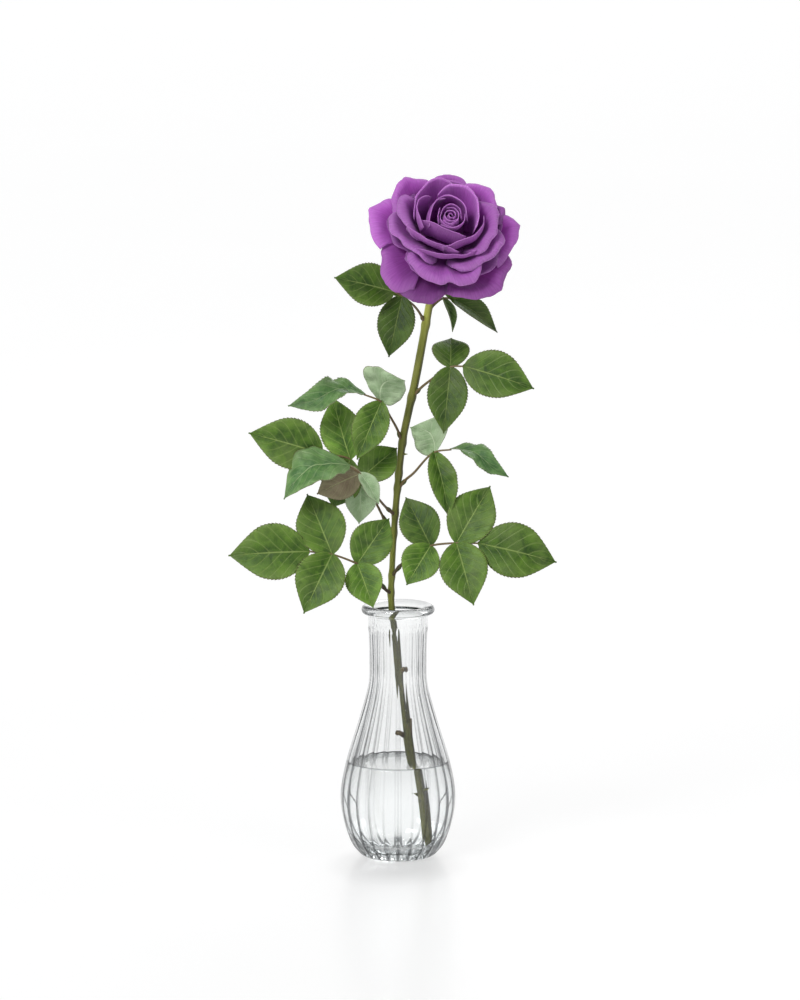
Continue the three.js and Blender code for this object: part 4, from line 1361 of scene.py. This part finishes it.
# %% The upper leaves
LEAVES["leaf_upper_left"] = ([
    (3, 22.8, 291.5), (0, 20, 300.9), (-5.3, 15, 311.6), (-12, 8, 323.6), (-24, 5, 329.3),
], [
    leaflet(
        4, (-77.2, -5, 322.6), 21, face=(-0.1, -0.35, 1), end_face=(-0.4, -1, 0.2), fold=0.3,
        arch=0.16, crumple=5, skin=YOUNG, tone=0.85,
    ),
    leaflet(3, (5, -8, 341), 31, face=(0.1, 0.9, 0.35), fold=0.15, sway=0.28, bite=0.4, crumple=4),
    leaflet(3, (-28.8, -4, 284.3), 24, fold=0.35, crumple=2, tone=1.05),
])
LEAVES["leaf_upper_right"] = ([
    (9.8, 25.8, 324), (15.4, 23, 330.5), (22.7, 18, 337.3), (36.9, 10, 348), (46.4, 8, 348.8),
], [
    leaflet(4, (95.6, -2, 334.4), 31, tone=0.9),
    leaflet(3, (37.5, 34, 365), 24, face=(0, -0.7, 0.7), tone=0.8),
    leaflet(3, (32, -5, 303), 26, tone=0.7),
])
LEAVES["leaf_top_left"] = ([
    (19.6, 32.6, 375.5), (12.7, 28, 387.3), (2.8, 22, 396.6), (-2.8, 19, 400),
], [
    leaflet(3, (-44.9, 12, 411.2), 28, tone=0.85),
    leaflet(2, (-6.5, 14, 354.4), 24, tone=0.6),
    leaflet(2, (-4.2, 34, 426.8), 23),
])
LEAVES["leaf_top_right"] = ([
    (21.8, 34.2, 386), (27, 36, 390), (31.7, 36.6, 392.9), (37, 37, 393),
], [
    leaflet(3, (70.1, 40, 368), 20, face=(0.35, -0.5, 0.8), fold=0.3, tone=0.7),
    leaflet(2, (38.4, 34, 369.3), 13, face=(1, -0.4, 0.3), fold=0.3),
    leaflet(3, (47, 50, 417.5), 21),
])

# %% Stalk and wings
STALK_STEPS = 30


def grow_stalk(name, route):
    """The stalk of one leaf, thicker at its foot."""
    length = sum((b - a).length for a, b in zip(route, route[1:]))

    def radius(share):
        return 0.62 + 0.4 * (1 - share) + 0.6 * math.exp(-((share * length / 5) ** 2))

    stalk_bm = bmesh.new()
    grow_tube(stalk_bm, route, radius, 10)
    mark_lit_side(stalk_bm)
    finished(stalk_bm, name + "_stalk", [stalk_skin], [name])


def add_wings(bm, start, end):
    """The narrow pair of wings at the foot of a stalk."""
    painted_light_layer = bm.verts.layers.float["leaf_painted_light"]
    way = end - start
    level = way.cross(Vector((0, -1, 0.2))).normalized()
    for vert in map_grid(bm, 4, 10):
        across, along = 2 * vert.co.x, vert.co.y + 0.5
        half_width = 0.3 + 1.3 * math.sin(math.pi * along) ** 0.7
        vert.co = start + way * along + level * across * half_width
        # The wings take a deeper painted tone.
        vert[painted_light_layer] = 0.8

# %% Grow the leaves
LEAF_THICKNESS = 0.35
# The back of a blade and its edge take the skin that follows its own in this list.
skins = [leaf_top, leaf_under, young_top, leaf_under, leaf_under, aged_under]

for number, (name, (knots, leaflets)) in enumerate(LEAVES.items()):
    route = evenly(curve_points(knots, 12), STALK_STEPS)
    grow_stalk(name, route)
    blade_bm = bmesh.new()
    blade_bm.loops.layers.uv.new("leaf_map")
    blade_bm.verts.layers.float.new("leaf_painted_light")
    for i, (knot, form) in enumerate(leaflets):
        near = Vector(knots[knot])
        base = min(route, key=lambda point: (point - near).length)
        add_leaflet(blade_bm, base, seed=number * 10 + i, **form)
    add_wings(blade_bm, route[2], route[6])
    thickened(finished(blade_bm, name + "_blades", skins, [name]), LEAF_THICKNESS)
print("leaflets:", sum(len(leaflets) for knots, leaflets in LEAVES.values()))
